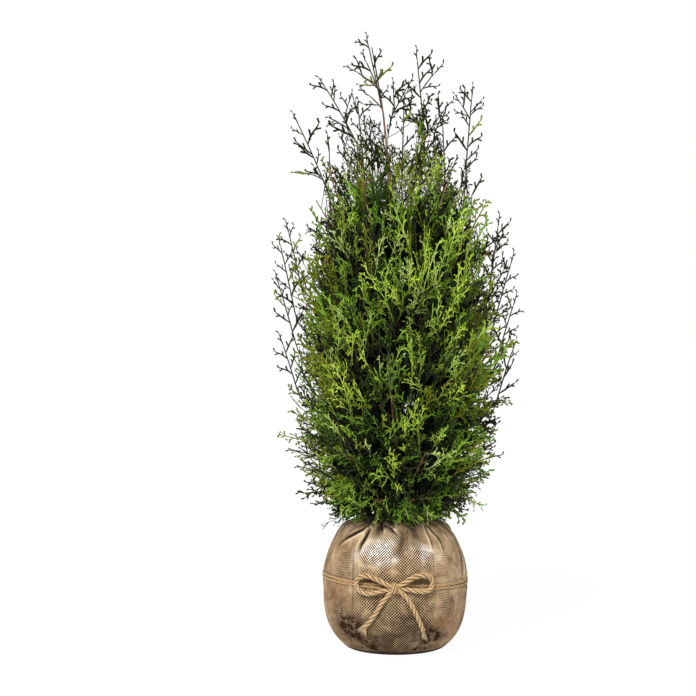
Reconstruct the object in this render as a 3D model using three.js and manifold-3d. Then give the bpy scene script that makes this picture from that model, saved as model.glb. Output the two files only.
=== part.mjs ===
// A young thuja lifted with its root ball. The ball is wrapped in hessian and tied round the
// middle with jute twine in a bow. One trunk with a swept leader carries ascending boughs, and
// the crown is made of flame-shaped masses of foliage with gaps between them.
//
// Millimetres, +Z up. The origin is the centre of the ball's flat underside, and the bow faces -Y.
import * as THREE from "three";
import { mergeVertices } from "three/addons/utils/BufferGeometryUtils.js";
import Module from "manifold-3d";

const HESSIAN = { color: 0xa98a5e, roughness: 0.95, metalness: 0 };
const SOIL_BALL = { color: 0x9a7c55, roughness: 0.95, metalness: 0 };
const TWINE = { color: 0xc19a5f, roughness: 0.9, metalness: 0 };
const BARK = { color: 0x6b4630, roughness: 0.9, metalness: 0 };
const BRIGHT_FOLIAGE = { color: 0x83a62b, roughness: 0.7, metalness: 0 };
const GREEN_FOLIAGE = { color: 0x557a24, roughness: 0.75, metalness: 0 };
const DARK_FOLIAGE = { color: 0x35481c, roughness: 0.8, metalness: 0 };

// The wrapped root ball.
const BALL_RADIUS = 140;
const BALL_WIDEST_Z = 115;
const BALL_TOP_Z = 244;
const BALL_LOWER_HEIGHT = 137; // half heights and exponent of the superellipse outline
const BALL_UPPER_HEIGHT = 158;
const BALL_EXPONENT = 2.4;
const BALL_SIDES = 32;
const BALL_RINGS = 9;

// The twine, tied in a groove that it presses into the ball.
const TWINE_DIAMETER = 5;
const TWINE_Z = 138;
const GROOVE_RADIUS = 137.5;
const GROOVE_HALF_HEIGHT = 6.5;
const GROOVE_LIP = 10; // height above and below the twine where the cloth is full again
const BAND_HALF_HEIGHT = 4.6; // two strands, one above the other
const BAND_HALF_THICKNESS = 2.2;
const BAND_CORNERS = 6;
const TWINE_SIDES = 6;
const BOW_RADIUS = 146; // distance of the bow's loops from the ball's axis
const LOOP_LENGTH = 73;
const LOOP_RISE = 24;
const LOOP_DROP = 13;
const LOOP_STEPS = 20;
const KNOT_HALF = new THREE.Vector3(7.4, 5.4, 8.6);
const KNOT_PROUD = 2.4; // how far the knot stands out past the loops
const STRAND_PITCH = 4.4; // the loops' ends leave the knot this far above and below its middle
const TAIL_LEFT_END = { x: -61, z: 50 };
const TAIL_RIGHT_END = { x: 57, z: 40 };
const TAIL_STEPS = 8;

// The gathered neck of the wrap.
const COLLAR_HEIGHT = 22;
const COLLAR_RUFFLES = 11;
const COLLAR_RUFFLE_DEPTH = 2.2;
const COLLAR_SECTION = [
  // radius and height of the cloth's outer side, then of its inner side
  [95, 0],
  [86, 8],
  [66, COLLAR_HEIGHT],
  [58, COLLAR_HEIGHT],
  [64, 8],
  [80, 0],
];

// The trunk. It leans right low in the crown and its leader sweeps left above it.
const TRUNK_BASE_RADIUS = 11.5;
const TRUNK_FLARE_RADIUS = 18;
const TRUNK_FLARE_HEIGHT = 34;
const TRUNK_TIP_RADIUS = 1.3;
const TRUNK_TIP_Z = 1172;
const TRUNK_SIDES = 8;
const TRUNK_STEPS = 20;
const TRUNK_BENDS = [
  [4, 3, 420],
  [9, -2, 640],
  [2, 2, 800],
  [-13, 0, 930],
  [-22, -2, 1030],
  [-33, -1, 1100],
  [-46, 0, TRUNK_TIP_Z],
];

// Boughs in view between the masses: the mass each carries, its drop to the trunk and thickness.
const BOUGHS = [
  { carries: "foliage_low_2", drop: 42, thickness: 4.6 },
  { carries: "foliage_low_5", drop: 42, thickness: 4.6 },
  { carries: "foliage_middle_1", drop: 92, thickness: 5.2 },
  { carries: "foliage_middle_3", drop: 96, thickness: 5.2 },
  { carries: "foliage_middle_5", drop: 90, thickness: 5.4 },
  { carries: "foliage_middle_6", drop: 94, thickness: 5.2 },
  { carries: "foliage_high_1", drop: 104, thickness: 4.8 },
  { carries: "foliage_high_3", drop: 100, thickness: 4.8 },
  { carries: "foliage_high_5", drop: 104, thickness: 4.8 },
  { carries: "foliage_shoulder_2", drop: 88, thickness: 3.8 },
  { carries: "plume_right_leader", drop: 120, thickness: 3.6 },
];
const BOUGH_ENTRY = 0.35; // how far along its mass a bough would reach if it weren't cut there
const BOUGH_TAPER = 0.55; // tip thickness over foot thickness
const BOUGH_SAG = 0.06; // dip of its middle, over the drop

// The masses of foliage.
const PLUME_SIDES = 8;
const PLUME_RINGS = 6;
const PLUME_FULLNESS = 0.6; // under 1 keeps a mass wide towards its ends
const PLUME_LUMPS = [
  { around: 2, twist: 4, size: 0.07 },
  { around: 3, twist: -7, size: 0.08 },
  { around: 4, twist: 15, size: 0.06 },
];

// Two rings of masses hide the foot of the trunk: [radius, height] on each one's axis.
const RINGS = [
  {
    name: "foliage_skirt", count: 7, start: 12, finish: GREEN_FOLIAGE,
    base: [48, 284], bend: [112, 320], tip: [184, 284], halfWidth: 76, halfDepth: 40,
  },
  {
    name: "foliage_low", count: 7, start: 38, finish: GREEN_FOLIAGE,
    base: [50, 334], bend: [140, 344], tip: [210, 432], halfWidth: 84, halfDepth: 56,
  },
];

// Above them the masses climb in a spiral. These are their sizes at stages on the way up.
const STAGES = [
  { base: [50, 390], bend: [160, 436], tip: [222, 548], halfWidth: 86, halfDepth: 64 },
  { base: [48, 470], bend: [156, 530], tip: [222, 670], halfWidth: 88, halfDepth: 68 },
  { base: [40, 590], bend: [136, 660], tip: [208, 810], halfWidth: 86, halfDepth: 66 },
  { base: [28, 710], bend: [98, 790], tip: [168, 950], halfWidth: 78, halfDepth: 62 },
];
const SPIRAL_FROM = 270; // bearing of the first
const SPIRAL_TURN = 137.5; // degrees from one to the next
const SPIRAL_PARTS = [
  { name: "foliage_middle", count: 6 },
  { name: "foliage_high", count: 6 },
  { name: "foliage_shoulder", count: 5 },
];

// The open shoots above the crown, each [x, y, z] of its base and tip.
const TOP_PLUMES = [
  { name: "plume_leader", base: [-12, 0, 920], tip: [-52, 0, 1196], halfWidth: 40 },
  { name: "plume_right_leader", base: [52, 14, 880], tip: [62, 22, 1163], halfWidth: 36 },
  { name: "plume_right", base: [96, -22, 850], tip: [154, -34, 1089], halfWidth: 36 },
  { name: "plume_left", base: [-46, 20, 880], tip: [-127, 34, 1105], halfWidth: 36 },
  { name: "plume_far_left", base: [-92, -24, 820], tip: [-185, -42, 1036], halfWidth: 36 },
  { name: "plume_front", base: [2, -46, 820], tip: [20, -84, 1066], halfWidth: 58 },
  { name: "plume_back", base: [-4, 50, 830], tip: [-24, 98, 1084], halfWidth: 58 },
];

const GAP = 0.3; // clear space between touching pieces
const CUT_GAP = 0.7; // the same where one uneven solid is cut round another
const SEED = 20;

const wasm = await Module();
wasm.setup();
const plant = new THREE.Group();

function addMesh(name, geometry, finish) {
  const mesh = new THREE.Mesh(geometry, new THREE.MeshStandardMaterial(finish));
  mesh.name = name;
  plant.add(mesh);
}

// A repeatable row of random numbers from 0 to 1.
function randomFrom(seed) {
  let state = seed >>> 0;
  return () => {
    state = (state + 0x6d2b79f5) >>> 0;
    let t = Math.imul(state ^ (state >>> 15), 1 | state);
    t = (t + Math.imul(t ^ (t >>> 7), 61 | t)) ^ t;
    return ((t ^ (t >>> 14)) >>> 0) / 4294967296;
  };
}

// ---- solids ---------------------------------------------------------------------------------

function toSolid(geometry) {
  const bare = geometry.clone();
  bare.deleteAttribute("normal");
  bare.deleteAttribute("uv");
  const merged = mergeVertices(bare, 1e-3);
  return new wasm.Manifold(
    new wasm.Mesh({
      numProp: 3,
      vertProperties: merged.attributes.position.array,
      triVerts: new Uint32Array(merged.index.array),
    }),
  );
}

function toGeometry(solid) {
  const mesh = solid.getMesh();
  const geometry = new THREE.BufferGeometry();
  geometry.setAttribute("position", new THREE.BufferAttribute(mesh.vertProperties, 3));
  geometry.setIndex(new THREE.BufferAttribute(mesh.triVerts, 1));
  geometry.computeVertexNormals();
  return geometry;
}

function largestBody(solid) {
  const bodies = solid.decompose();
  return bodies.reduce((best, body) => (body.volume() > best.volume() ? body : best));
}

// Moves each vertex of a geometry to where place(vertex) says.
function reshape(geometry, place) {
  const position = geometry.attributes.position;
  const vertex = new THREE.Vector3();
  for (let i = 0; i < position.count; i += 1) {
    vertex.fromBufferAttribute(position, i);
    const moved = place(vertex);
    position.setXYZ(i, moved.x, moved.y, moved.z);
  }
  geometry.computeVertexNormals();
  return geometry;
}

// A round limb along a curve: a cylinder whose height follows the curve, radiusAt(t) thick.
function limbGeometry(curve, radiusAt, sides, steps) {
  const frames = curve.computeFrenetFrames(steps);
  return reshape(new THREE.CylinderGeometry(1, 1, 1, sides, steps), (v) => {
    const step = Math.round((v.y + 0.5) * steps);
    const t = step / steps;
    return curve
      .getPointAt(t)
      .addScaledVector(frames.normals[step], v.x * radiusAt(t))
      .addScaledVector(frames.binormals[step], -v.z * radiusAt(t));
  });
}

// A mass of foliage: a sphere drawn out from base to tip along a bent axis. It is widest at its
// belly, flatter across than it is wide, and lumpy all over. grow makes it that much bigger.
function plumeGeometry(plume, grow = 0) {
  const { base, bend, tip, halfWidth, halfDepth, belly, phases } = plume;
  const axis = new THREE.QuadraticBezierCurve3(base, bend, tip);
  const outward = new THREE.Vector3().subVectors(tip, base);
  const side = new THREE.Vector3(-outward.y, outward.x, 0).normalize();
  const skew = Math.log(0.5) / Math.log(belly);
  return reshape(new THREE.SphereGeometry(1, PLUME_SIDES, PLUME_RINGS), (v) => {
    const t = THREE.MathUtils.clamp((v.y + 1) / 2, 0, 1);
    const along = axis.getTangent(t);
    const across = new THREE.Vector3().crossVectors(side, along);
    const round = Math.atan2(v.z, v.x);
    const lump = PLUME_LUMPS.reduce(
      (sum, { around, twist, size }, i) =>
        sum + size * Math.sin(around * round + twist * t + phases[i]),
      1,
    );
    const swell = Math.sin(Math.PI * t ** skew) ** PLUME_FULLNESS;
    const onRing = Math.hypot(v.x, v.z) > 1e-6 ? 1 : 0;
    const wide = (halfWidth * swell * lump + grow) * onRing;
    const deep = (halfDepth * swell * lump + grow) * onRing;
    return axis
      .getPoint(t)
      .addScaledVector(along, grow * (2 * t - 1))
      .addScaledVector(side, wide * Math.cos(round))
      .addScaledVector(across, deep * Math.sin(round));
  });
}

// ---- root ball and wrap ---------------------------------------------------------------------

function ballRadius(z) {
  const half = z < BALL_WIDEST_Z ? BALL_LOWER_HEIGHT : BALL_UPPER_HEIGHT;
  const rise = (Math.abs(z - BALL_WIDEST_Z) / half) ** BALL_EXPONENT;
  const plain = BALL_RADIUS * (1 - rise) ** (1 / BALL_EXPONENT);
  const fromTwine = Math.abs(z - TWINE_Z) / GROOVE_HALF_HEIGHT;
  return fromTwine < 1 ? Math.min(plain, GROOVE_RADIUS) : plain;
}

function addRootBall() {
  const heights = [];
  for (let i = 0; i <= BALL_RINGS; i += 1) {
    const z = (BALL_TOP_Z * i) / BALL_RINGS;
    if (Math.abs(z - TWINE_Z) > GROOVE_LIP) heights.push(z);
  }
  const floor = GROOVE_HALF_HEIGHT * 0.98;
  heights.push(TWINE_Z - GROOVE_LIP, TWINE_Z - floor, TWINE_Z + floor, TWINE_Z + GROOVE_LIP);
  const outline = heights
    .sort((a, b) => a - b)
    .map((z) => new THREE.Vector2(ballRadius(z), z));
  const profile = [new THREE.Vector2(0, 0), ...outline, new THREE.Vector2(0, BALL_TOP_Z)];
  const ball = new THREE.LatheGeometry(profile, BALL_SIDES);
  ball.rotateX(Math.PI / 2);
  addMesh("root_ball", ball, SOIL_BALL);
}

// The cloth above the ball's shoulder, gathered into ruffles round the foot of the trunk.
function addCollar() {
  const foot = BALL_TOP_Z + GAP;
  const section = [...COLLAR_SECTION, COLLAR_SECTION[0]].map(
    ([radius, height]) => new THREE.Vector2(radius, foot + height),
  );
  const collar = new THREE.LatheGeometry(section, COLLAR_RUFFLES * 4);
  reshape(collar, (v) => {
    const around = Math.atan2(v.x, v.z);
    const raised = (v.y - foot) / COLLAR_HEIGHT;
    const ripple = COLLAR_RUFFLE_DEPTH * raised * Math.sin(COLLAR_RUFFLES * around);
    const radius = Math.hypot(v.x, v.z) + ripple;
    return new THREE.Vector3(radius * Math.sin(around), v.y, radius * Math.cos(around));
  });
  collar.rotateX(Math.PI / 2);
  addMesh("wrap_collar", collar, HESSIAN);
}

// ---- twine ----------------------------------------------------------------------------------

function addBand() {
  const middle = GROOVE_RADIUS + 2 * GAP + BAND_HALF_THICKNESS;
  const section = [];
  for (let i = 0; i <= BAND_CORNERS; i += 1) {
    const turn = (2 * Math.PI * i) / BAND_CORNERS;
    const out = BAND_HALF_THICKNESS * Math.cos(turn);
    const up = BAND_HALF_HEIGHT * Math.sin(turn);
    section.push(new THREE.Vector2(middle + out, TWINE_Z + up));
  }
  const band = new THREE.LatheGeometry(section, BALL_SIDES);
  band.rotateX(Math.PI / 2);
  addMesh("twine_band", band, TWINE);
}

// A point on an upright cylinder round the ball, x to the side of its front line.
function frontPoint(x, z, radius) {
  return new THREE.Vector3(x, -Math.sqrt(radius * radius - x * x), z);
}

function addTwineTube(name, points, steps) {
  const curve = new THREE.CatmullRomCurve3(points, false, "centripetal");
  const radius = TWINE_DIAMETER / 2;
  addMesh(name, limbGeometry(curve, () => radius, TWINE_SIDES, steps), TWINE);
}

function addLoop(name, side) {
  const start = KNOT_HALF.x + 2 * GAP;
  const points = [
    [start, STRAND_PITCH],
    [LOOP_LENGTH * 0.45, LOOP_RISE * 0.85],
    [LOOP_LENGTH * 0.78, LOOP_RISE],
    [LOOP_LENGTH, LOOP_RISE * 0.3],
    [LOOP_LENGTH * 0.82, -LOOP_DROP * 0.9],
    [LOOP_LENGTH * 0.5, -LOOP_DROP],
    [start, -STRAND_PITCH],
  ];
  addTwineTube(
    name,
    points.map(([x, rise]) => frontPoint(side * x, TWINE_Z + rise, BOW_RADIUS)),
    LOOP_STEPS,
  );
}

function addTail(name, end) {
  const startZ = TWINE_Z - KNOT_HALF.z - TWINE_DIAMETER * 0.75;
  const startX = Math.sign(end.x) * TWINE_DIAMETER;
  const points = [];
  for (let i = 0; i <= TAIL_STEPS; i += 1) {
    const t = i / TAIL_STEPS;
    const z = THREE.MathUtils.lerp(startZ, end.z, t);
    const x = THREE.MathUtils.lerp(startX, end.x, t ** 0.85);
    const hang = 1.2 + 4 * (1 - t) ** 3; // clear of the cloth, more so under the knot
    points.push(frontPoint(x, z, ballRadius(z) + TWINE_DIAMETER / 2 + hang));
  }
  addTwineTube(name, points, TAIL_STEPS);
}

function addBow() {
  const knot = reshape(new THREE.SphereGeometry(1, 12, 8), (v) =>
    v.clone().multiply(KNOT_HALF).add(new THREE.Vector3(0, -BOW_RADIUS - KNOT_PROUD, TWINE_Z)),
  );
  addMesh("bow_knot", knot, TWINE);
  addLoop("bow_loop_left", -1);
  addLoop("bow_loop_right", 1);
  addTail("bow_tail_left", TAIL_LEFT_END);
  addTail("bow_tail_right", TAIL_RIGHT_END);
}

// ---- trunk and boughs -----------------------------------------------------------------------

const trunkLine = new THREE.CatmullRomCurve3([
  new THREE.Vector3(0, 0, BALL_TOP_Z + GAP),
  ...TRUNK_BENDS.map((point) => new THREE.Vector3(...point)),
]);

function trunkRadius(t) {
  const plain = THREE.MathUtils.lerp(TRUNK_BASE_RADIUS, TRUNK_TIP_RADIUS, t ** 0.85);
  const fromGround = (t * (TRUNK_TIP_Z - BALL_TOP_Z)) / TRUNK_FLARE_HEIGHT;
  const flare = (TRUNK_FLARE_RADIUS - TRUNK_BASE_RADIUS) * Math.exp(-2.2 * fromGround);
  return plain + flare;
}

function trunkGeometry(grow = 0) {
  const trunk = limbGeometry(trunkLine, (t) => trunkRadius(t) + grow, TRUNK_SIDES, TRUNK_STEPS);
  const ground = BALL_TOP_Z + GAP;
  return reshape(trunk, (v) => {
    const level = v.z < ground + 4 ? ground : v.z;
    return new THREE.Vector3(v.x, v.y, level - (level === ground ? grow : 0));
  });
}

function trunkPointAt(z) {
  let near = 0;
  let far = 1;
  for (let i = 0; i < 24; i += 1) {
    const middle = (near + far) / 2;
    if (trunkLine.getPointAt(middle).z < z) near = middle;
    else far = middle;
  }
  return trunkLine.getPointAt(near);
}

// A bough leaves the trunk steeply and bends out towards the foot of its mass of foliage.
function boughGeometry(plume, { drop, thickness }, grow = 0) {
  const end = plume.base.clone().lerp(plume.bend, BOUGH_ENTRY);
  const start = trunkPointAt(end.z - drop);
  const middle = start.clone().lerp(end, 0.5);
  middle.z -= drop * BOUGH_SAG;
  const line = new THREE.QuadraticBezierCurve3(start, middle, end);
  const radiusAt = (t) => thickness * THREE.MathUtils.lerp(1, BOUGH_TAPER, t) + grow;
  return limbGeometry(line, radiusAt, 5, 5);
}

// ---- crown ----------------------------------------------------------------------------------

function randomPhases(random) {
  return PLUME_LUMPS.map(() => 2 * Math.PI * random());
}

// The sizes of a mass at a place between 0 and 1 up the spiral.
function stageAt(place) {
  const along = place * (STAGES.length - 1);
  const from = STAGES[Math.min(Math.floor(along), STAGES.length - 2)];
  const to = STAGES[STAGES.indexOf(from) + 1];
  const t = along - STAGES.indexOf(from);
  const mix = (a, b) => THREE.MathUtils.lerp(a, b, t);
  const mixPair = (a, b) => [mix(a[0], b[0]), mix(a[1], b[1])];
  return {
    base: mixPair(from.base, to.base),
    bend: mixPair(from.bend, to.bend),
    tip: mixPair(from.tip, to.tip),
    halfWidth: mix(from.halfWidth, to.halfWidth),
    halfDepth: mix(from.halfDepth, to.halfDepth),
  };
}

function sidePlume(name, finish, stage, degrees, random) {
  const angle = THREE.MathUtils.degToRad(degrees + 12 * (random() - 0.5));
  const reach = 1.02 + 0.06 * (random() - 0.5) + 0.02 * Math.cos(angle);
  const rise = 20 * (random() - 0.5);
  const centre = trunkPointAt(stage.base[1]);
  const at = ([radius, z], outer) =>
    new THREE.Vector3(
      centre.x * (1 - outer) + radius * (outer ? reach : 1) * Math.cos(angle),
      centre.y * (1 - outer) + radius * (outer ? reach : 1) * Math.sin(angle),
      z + rise * outer,
    );
  return {
    name,
    finish,
    base: at(stage.base, 0),
    bend: at(stage.bend, 0.5),
    tip: at(stage.tip, 1),
    halfWidth: stage.halfWidth * (0.92 + 0.16 * random()),
    halfDepth: stage.halfDepth * (0.92 + 0.16 * random()),
    belly: 0.52 + 0.08 * random(),
    phases: randomPhases(random),
  };
}

function sidePlumes(random) {
  const plumes = [];
  for (const ring of RINGS) {
    for (let i = 0; i < ring.count; i += 1) {
      const degrees = ring.start + (360 * i) / ring.count;
      plumes.push(sidePlume(`${ring.name}_${i + 1}`, ring.finish, ring, degrees, random));
    }
  }
  const total = SPIRAL_PARTS.reduce((sum, { count }) => sum + count, 0);
  let step = 0;
  for (const part of SPIRAL_PARTS) {
    for (let i = 0; i < part.count; i += 1) {
      const stage = stageAt(step / (total - 1));
      const degrees = SPIRAL_FROM + SPIRAL_TURN * step;
      plumes.push(sidePlume(`${part.name}_${i + 1}`, BRIGHT_FOLIAGE, stage, degrees, random));
      step += 1;
    }
  }
  return plumes;
}

function topPlumes(random) {
  return TOP_PLUMES.map(({ name, base, tip, halfWidth }) => {
    const from = new THREE.Vector3(...base);
    const to = new THREE.Vector3(...tip);
    const bend = from.clone().lerp(to, 0.5);
    bend.x -= 0.12 * (to.x - from.x);
    bend.y -= 0.12 * (to.y - from.y);
    return {
      name,
      finish: DARK_FOLIAGE,
      base: from,
      bend,
      tip: to,
      halfWidth,
      halfDepth: halfWidth * 0.85,
      belly: 0.42,
      phases: randomPhases(random),
    };
  });
}

function addCrown() {
  const random = randomFrom(SEED);
  const plumes = [...sidePlumes(random), ...topPlumes(random)];
  const trunkCutter = toSolid(trunkGeometry(CUT_GAP));
  const cutters = [];
  for (const plume of plumes) {
    let solid = toSolid(plumeGeometry(plume)).subtract(trunkCutter);
    for (const cutter of cutters) solid = solid.subtract(cutter);
    addMesh(plume.name, toGeometry(largestBody(solid)), plume.finish);
    cutters.push(toSolid(plumeGeometry(plume, CUT_GAP)));
  }
  BOUGHS.forEach((bough, i) => {
    const plume = plumes.find(({ name }) => name === bough.carries);
    let solid = toSolid(boughGeometry(plume, bough)).subtract(trunkCutter);
    for (const cutter of cutters) solid = solid.subtract(cutter);
    addMesh(`bough_${i + 1}`, toGeometry(largestBody(solid)), BARK);
    cutters.push(toSolid(boughGeometry(plume, bough, CUT_GAP)));
  });
}

addRootBall();
addCollar();
addBand();
addBow();
addMesh("trunk", trunkGeometry(), BARK);
addCrown();

export default plant;
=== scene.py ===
# A young thuja on a hessian-wrapped root ball, tied with jute twine in a bow.
# Metres, +Z up. The ball's foot is at the origin and the bow faces -Y.
import math
import random
import bpy
import numpy as np
from mathutils import Matrix, Quaternion, Vector, noise
from mathutils.kdtree import KDTree


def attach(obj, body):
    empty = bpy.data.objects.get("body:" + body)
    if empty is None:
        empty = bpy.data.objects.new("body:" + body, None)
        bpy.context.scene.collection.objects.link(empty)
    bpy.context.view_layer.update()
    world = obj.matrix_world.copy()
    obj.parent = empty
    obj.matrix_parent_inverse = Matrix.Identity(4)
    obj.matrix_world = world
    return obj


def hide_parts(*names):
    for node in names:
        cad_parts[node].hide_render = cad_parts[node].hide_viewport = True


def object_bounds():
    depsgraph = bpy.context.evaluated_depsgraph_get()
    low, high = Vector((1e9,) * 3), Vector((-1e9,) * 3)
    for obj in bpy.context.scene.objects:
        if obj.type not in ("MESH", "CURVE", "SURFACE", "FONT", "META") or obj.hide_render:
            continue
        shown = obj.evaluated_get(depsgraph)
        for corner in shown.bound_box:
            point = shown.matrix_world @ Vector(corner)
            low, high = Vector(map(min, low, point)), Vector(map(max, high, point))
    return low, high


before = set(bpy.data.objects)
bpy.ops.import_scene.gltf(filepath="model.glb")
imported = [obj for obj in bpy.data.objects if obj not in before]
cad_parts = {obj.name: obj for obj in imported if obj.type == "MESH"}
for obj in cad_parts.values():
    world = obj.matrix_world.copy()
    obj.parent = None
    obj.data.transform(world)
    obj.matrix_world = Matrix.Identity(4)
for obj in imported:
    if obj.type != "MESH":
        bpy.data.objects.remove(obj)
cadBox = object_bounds()
mm = 0.001
up = Vector((0, 0, 1))


def toLinear(hexColour):
    channels = [int(hexColour[i:i + 2], 16) / 255 for i in (1, 3, 5)]
    return [c / 12.92 if c <= 0.04045 else ((c + 0.055) / 1.055) ** 2.4 for c in channels] + [1.0]


def addNode(tree, kind, inputs=None, **settings):  # inputs: socket name or number -> value or output socket
    node = tree.nodes.new(kind)
    for name, value in settings.items():
        setattr(node, name, value)
    for key, value in (inputs or {}).items():
        if isinstance(value, bpy.types.NodeSocket):
            tree.links.new(value, node.inputs[key])
        else:
            node.inputs[key].default_value = value
    return node


def newMaterial(name, **sockets):  # a Principled material; sockets are set on the shader itself
    material = bpy.data.materials.new(name)
    material.use_nodes = True
    tree = material.node_tree
    shader = tree.nodes["Principled BSDF"]
    for key, value in sockets.items():
        shader.inputs[key.replace("_", " ")].default_value = value
    return material, tree, shader


def addPiece(name, verts, faces, material, replaced=(), smooth=True):
    mesh = bpy.data.meshes.new(name)
    mesh.from_pydata([tuple(v) for v in verts], [], faces)
    mesh.update()
    if smooth:
        mesh.shade_smooth()
    mesh.materials.append(material)
    piece = bpy.data.objects.new(name, mesh)
    bpy.context.collection.objects.link(piece)
    joinFrame(piece, replaced)
    return piece


def joinFrame(piece, replaced=()):
    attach(piece, "root")
    if replaced:
        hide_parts(*replaced)


def mix(a, b, t):
    return a + (b - a) * t


# ---- camera and studio ----

studio = {
    "cameraPlace": (-0.0917, -2.9, 0.582),
    "lens": 76.92,
    "floorSize": 60.0,
    "floorColour": "#FFFFFF",
    "floorGlow": 0.97,  # the floor stays as white as what lies beyond it
    "ambient": 0.22,
    "key": {"from": (-0.65, -1.5, 1.5), "strength": 4.4, "softness": 16},
    "fill": {"from": (1.2, -1.3, 0.5), "strength": 1.0, "softness": 60},
}


def addCamera():
    data = bpy.data.cameras.new("camera")
    data.lens = studio["lens"]
    data.sensor_width = 36
    camera = bpy.data.objects.new("camera", data)
    camera.location = studio["cameraPlace"]
    camera.rotation_euler = (math.radians(90), 0, 0)
    bpy.context.collection.objects.link(camera)
    bpy.context.scene.camera = camera


def addSun(name, look):
    data = bpy.data.lights.new(name, "SUN")
    data.energy = look["strength"]
    data.angle = math.radians(look["softness"])
    light = bpy.data.objects.new(name, data)
    light.rotation_euler = (-Vector(look["from"])).to_track_quat("-Z", "Y").to_euler()
    bpy.context.collection.objects.link(light)


def addFloor():
    half = studio["floorSize"] / 2
    corners = [(-half, -half, 0), (half, -half, 0), (half, half, 0), (-half, half, 0)]
    mesh = bpy.data.meshes.new("floor")
    mesh.from_pydata(corners, [], [(0, 1, 2, 3)])
    material, tree, shader = newMaterial("paintedFloor", Roughness=0.9)
    shader.inputs["Base Color"].default_value = toLinear(studio["floorColour"])
    ray = addNode(tree, "ShaderNodeLightPath")
    glow = addNode(tree, "ShaderNodeEmission", {"Color": (1, 1, 1, 1), "Strength": 1.0})
    share = addNode(tree, "ShaderNodeMath", {0: ray.outputs["Is Camera Ray"], 1: studio["floorGlow"]}, operation="MULTIPLY")
    both = addNode(tree, "ShaderNodeMixShader", {0: share.outputs[0], 1: shader.outputs[0], 2: glow.outputs[0]})
    tree.links.new(both.outputs[0], tree.nodes["Material Output"].inputs["Surface"])
    mesh.materials.append(material)
    floor = bpy.data.objects.new("floor", mesh)
    bpy.context.collection.objects.link(floor)


def addSky():  # white behind the plant, dimmer as light, so that gaps in the crown stay dark
    world = bpy.data.worlds.new("studioWorld")
    bpy.context.scene.world = world
    world.use_nodes = True
    tree = world.node_tree
    tree.nodes.clear()
    dim = addNode(tree, "ShaderNodeBackground", {"Color": (1, 1, 1, 1), "Strength": studio["ambient"]})
    white = addNode(tree, "ShaderNodeBackground", {"Color": (1, 1, 1, 1), "Strength": 1.0})
    ray = addNode(tree, "ShaderNodeLightPath")
    both = addNode(tree, "ShaderNodeMixShader", {0: ray.outputs["Is Camera Ray"], 1: dim.outputs[0], 2: white.outputs[0]})
    addNode(tree, "ShaderNodeOutputWorld", {"Surface": both.outputs[0]})


addCamera()
addSun("keyLight", studio["key"])
addSun("fillLight", studio["fill"])
addFloor()
addSky()
bpy.context.scene.view_settings.view_transform = "Standard"
print("camera, lights and floor are set")

# ---- limbs as the frame has them ----


def limbLine(name, count):  # centres and radii of a limb, from even slices across its long axis
    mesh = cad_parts[name].data
    mesh.calc_loop_triangles()
    verts = np.array([v.co for v in mesh.vertices])
    tris = np.array([t.vertices for t in mesh.loop_triangles])
    axis = np.linalg.eigh(np.cov((verts - verts.mean(0)).T))[1][:, 2]
    if axis[2] < 0:
        axis = -axis
    height = verts @ axis
    edges = np.concatenate([tris[:, [0, 1]], tris[:, [1, 2]], tris[:, [2, 0]]])
    below, above = height[edges[:, 0]], height[edges[:, 1]]
    line = []
    for t in np.linspace(0.004, 0.996, count):
        level = mix(height.min(), height.max(), t)
        cut = (below - level) * (above - level) < 0
        share = ((level - below[cut]) / (above[cut] - below[cut]))[:, None]
        ring = mix(verts[edges[cut, 0]], verts[edges[cut, 1]], share)
        centre = ring.mean(0)
        line.append((Vector(centre), float(np.linalg.norm(ring - centre, axis=1).mean())))
    return line


trunkLine = limbLine("trunk", 60)


def trunkAt(z):
    heights = [p.z for p, r in trunkLine]
    return Vector([float(np.interp(z, heights, [p[i] for p, r in trunkLine])) for i in range(2)] + [z])


# ---- sprays: flat forked fronds, each a mesh that many instances share ----

sprayLooks = {
    "shoot": {"copies": 6, "length": 120, "first": 0.16, "spacing": 16, "branch": 42, "angle": 42, "bare": 0.3,
              "nubSpacing": 8.5, "nub": 10.5, "thread": 0.95, "nubThick": 1.05, "bend": 9, "curl": 0.16, "flat": 0.8},
    "lace": {"copies": 6, "length": 120, "first": 0.16, "spacing": 16, "branch": 42, "angle": 42, "bare": 0.3,
             "nubSpacing": 9.8, "nub": 12, "thread": 1.65, "nubThick": 1.95, "bend": 9, "curl": 0.14, "flat": 0.95},
    "lacelet": {"copies": 6, "length": 70, "first": 0.12, "spacing": 11.5, "branch": 30, "angle": 42, "bare": 0.24,
                "nubSpacing": 9.4, "nub": 11.5, "thread": 1.5, "nubThick": 1.85, "bend": 9, "curl": 0.16, "flat": 0.95},
    "fan": {"copies": 10, "length": 70, "first": 0.12, "spacing": 11, "branch": 30, "angle": 42, "bare": 0.2,
            "nubSpacing": 8.8, "nub": 10, "thread": 0.95, "nubThick": 1.15, "bend": 9, "curl": 0.2, "flat": 0.75},
    "tuft": {"copies": 5, "length": 46, "first": 0.14, "spacing": 8.6, "branch": 22, "angle": 40, "bare": 0.15,
             "nubSpacing": 7.8, "nub": 9.2, "thread": 1.0, "nubThick": 1.2, "bend": 6, "curl": 0.2, "flat": 0.75},
    "fork": {"copies": 8, "length": 42, "first": 1.0, "spacing": 20, "branch": 0, "angle": 42, "bare": 0.34,
             "nubSpacing": 11, "nub": 13.5, "thread": 1.7, "nubThick": 1.9, "bend": 3, "curl": 0.09, "flat": 0.95},
    # frond: dense flat fillers inside the crown, dealt near-black as painted shade
    "frond": {"copies": 4, "length": 84, "first": 0.06, "spacing": 11, "branch": 36, "angle": 42, "bare": 2.0,
              "nubSpacing": 9.0, "nub": 8.0, "thread": 3.3, "nubThick": 2.0, "bend": 10, "curl": 0.1, "flat": 0.25},
}


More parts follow.
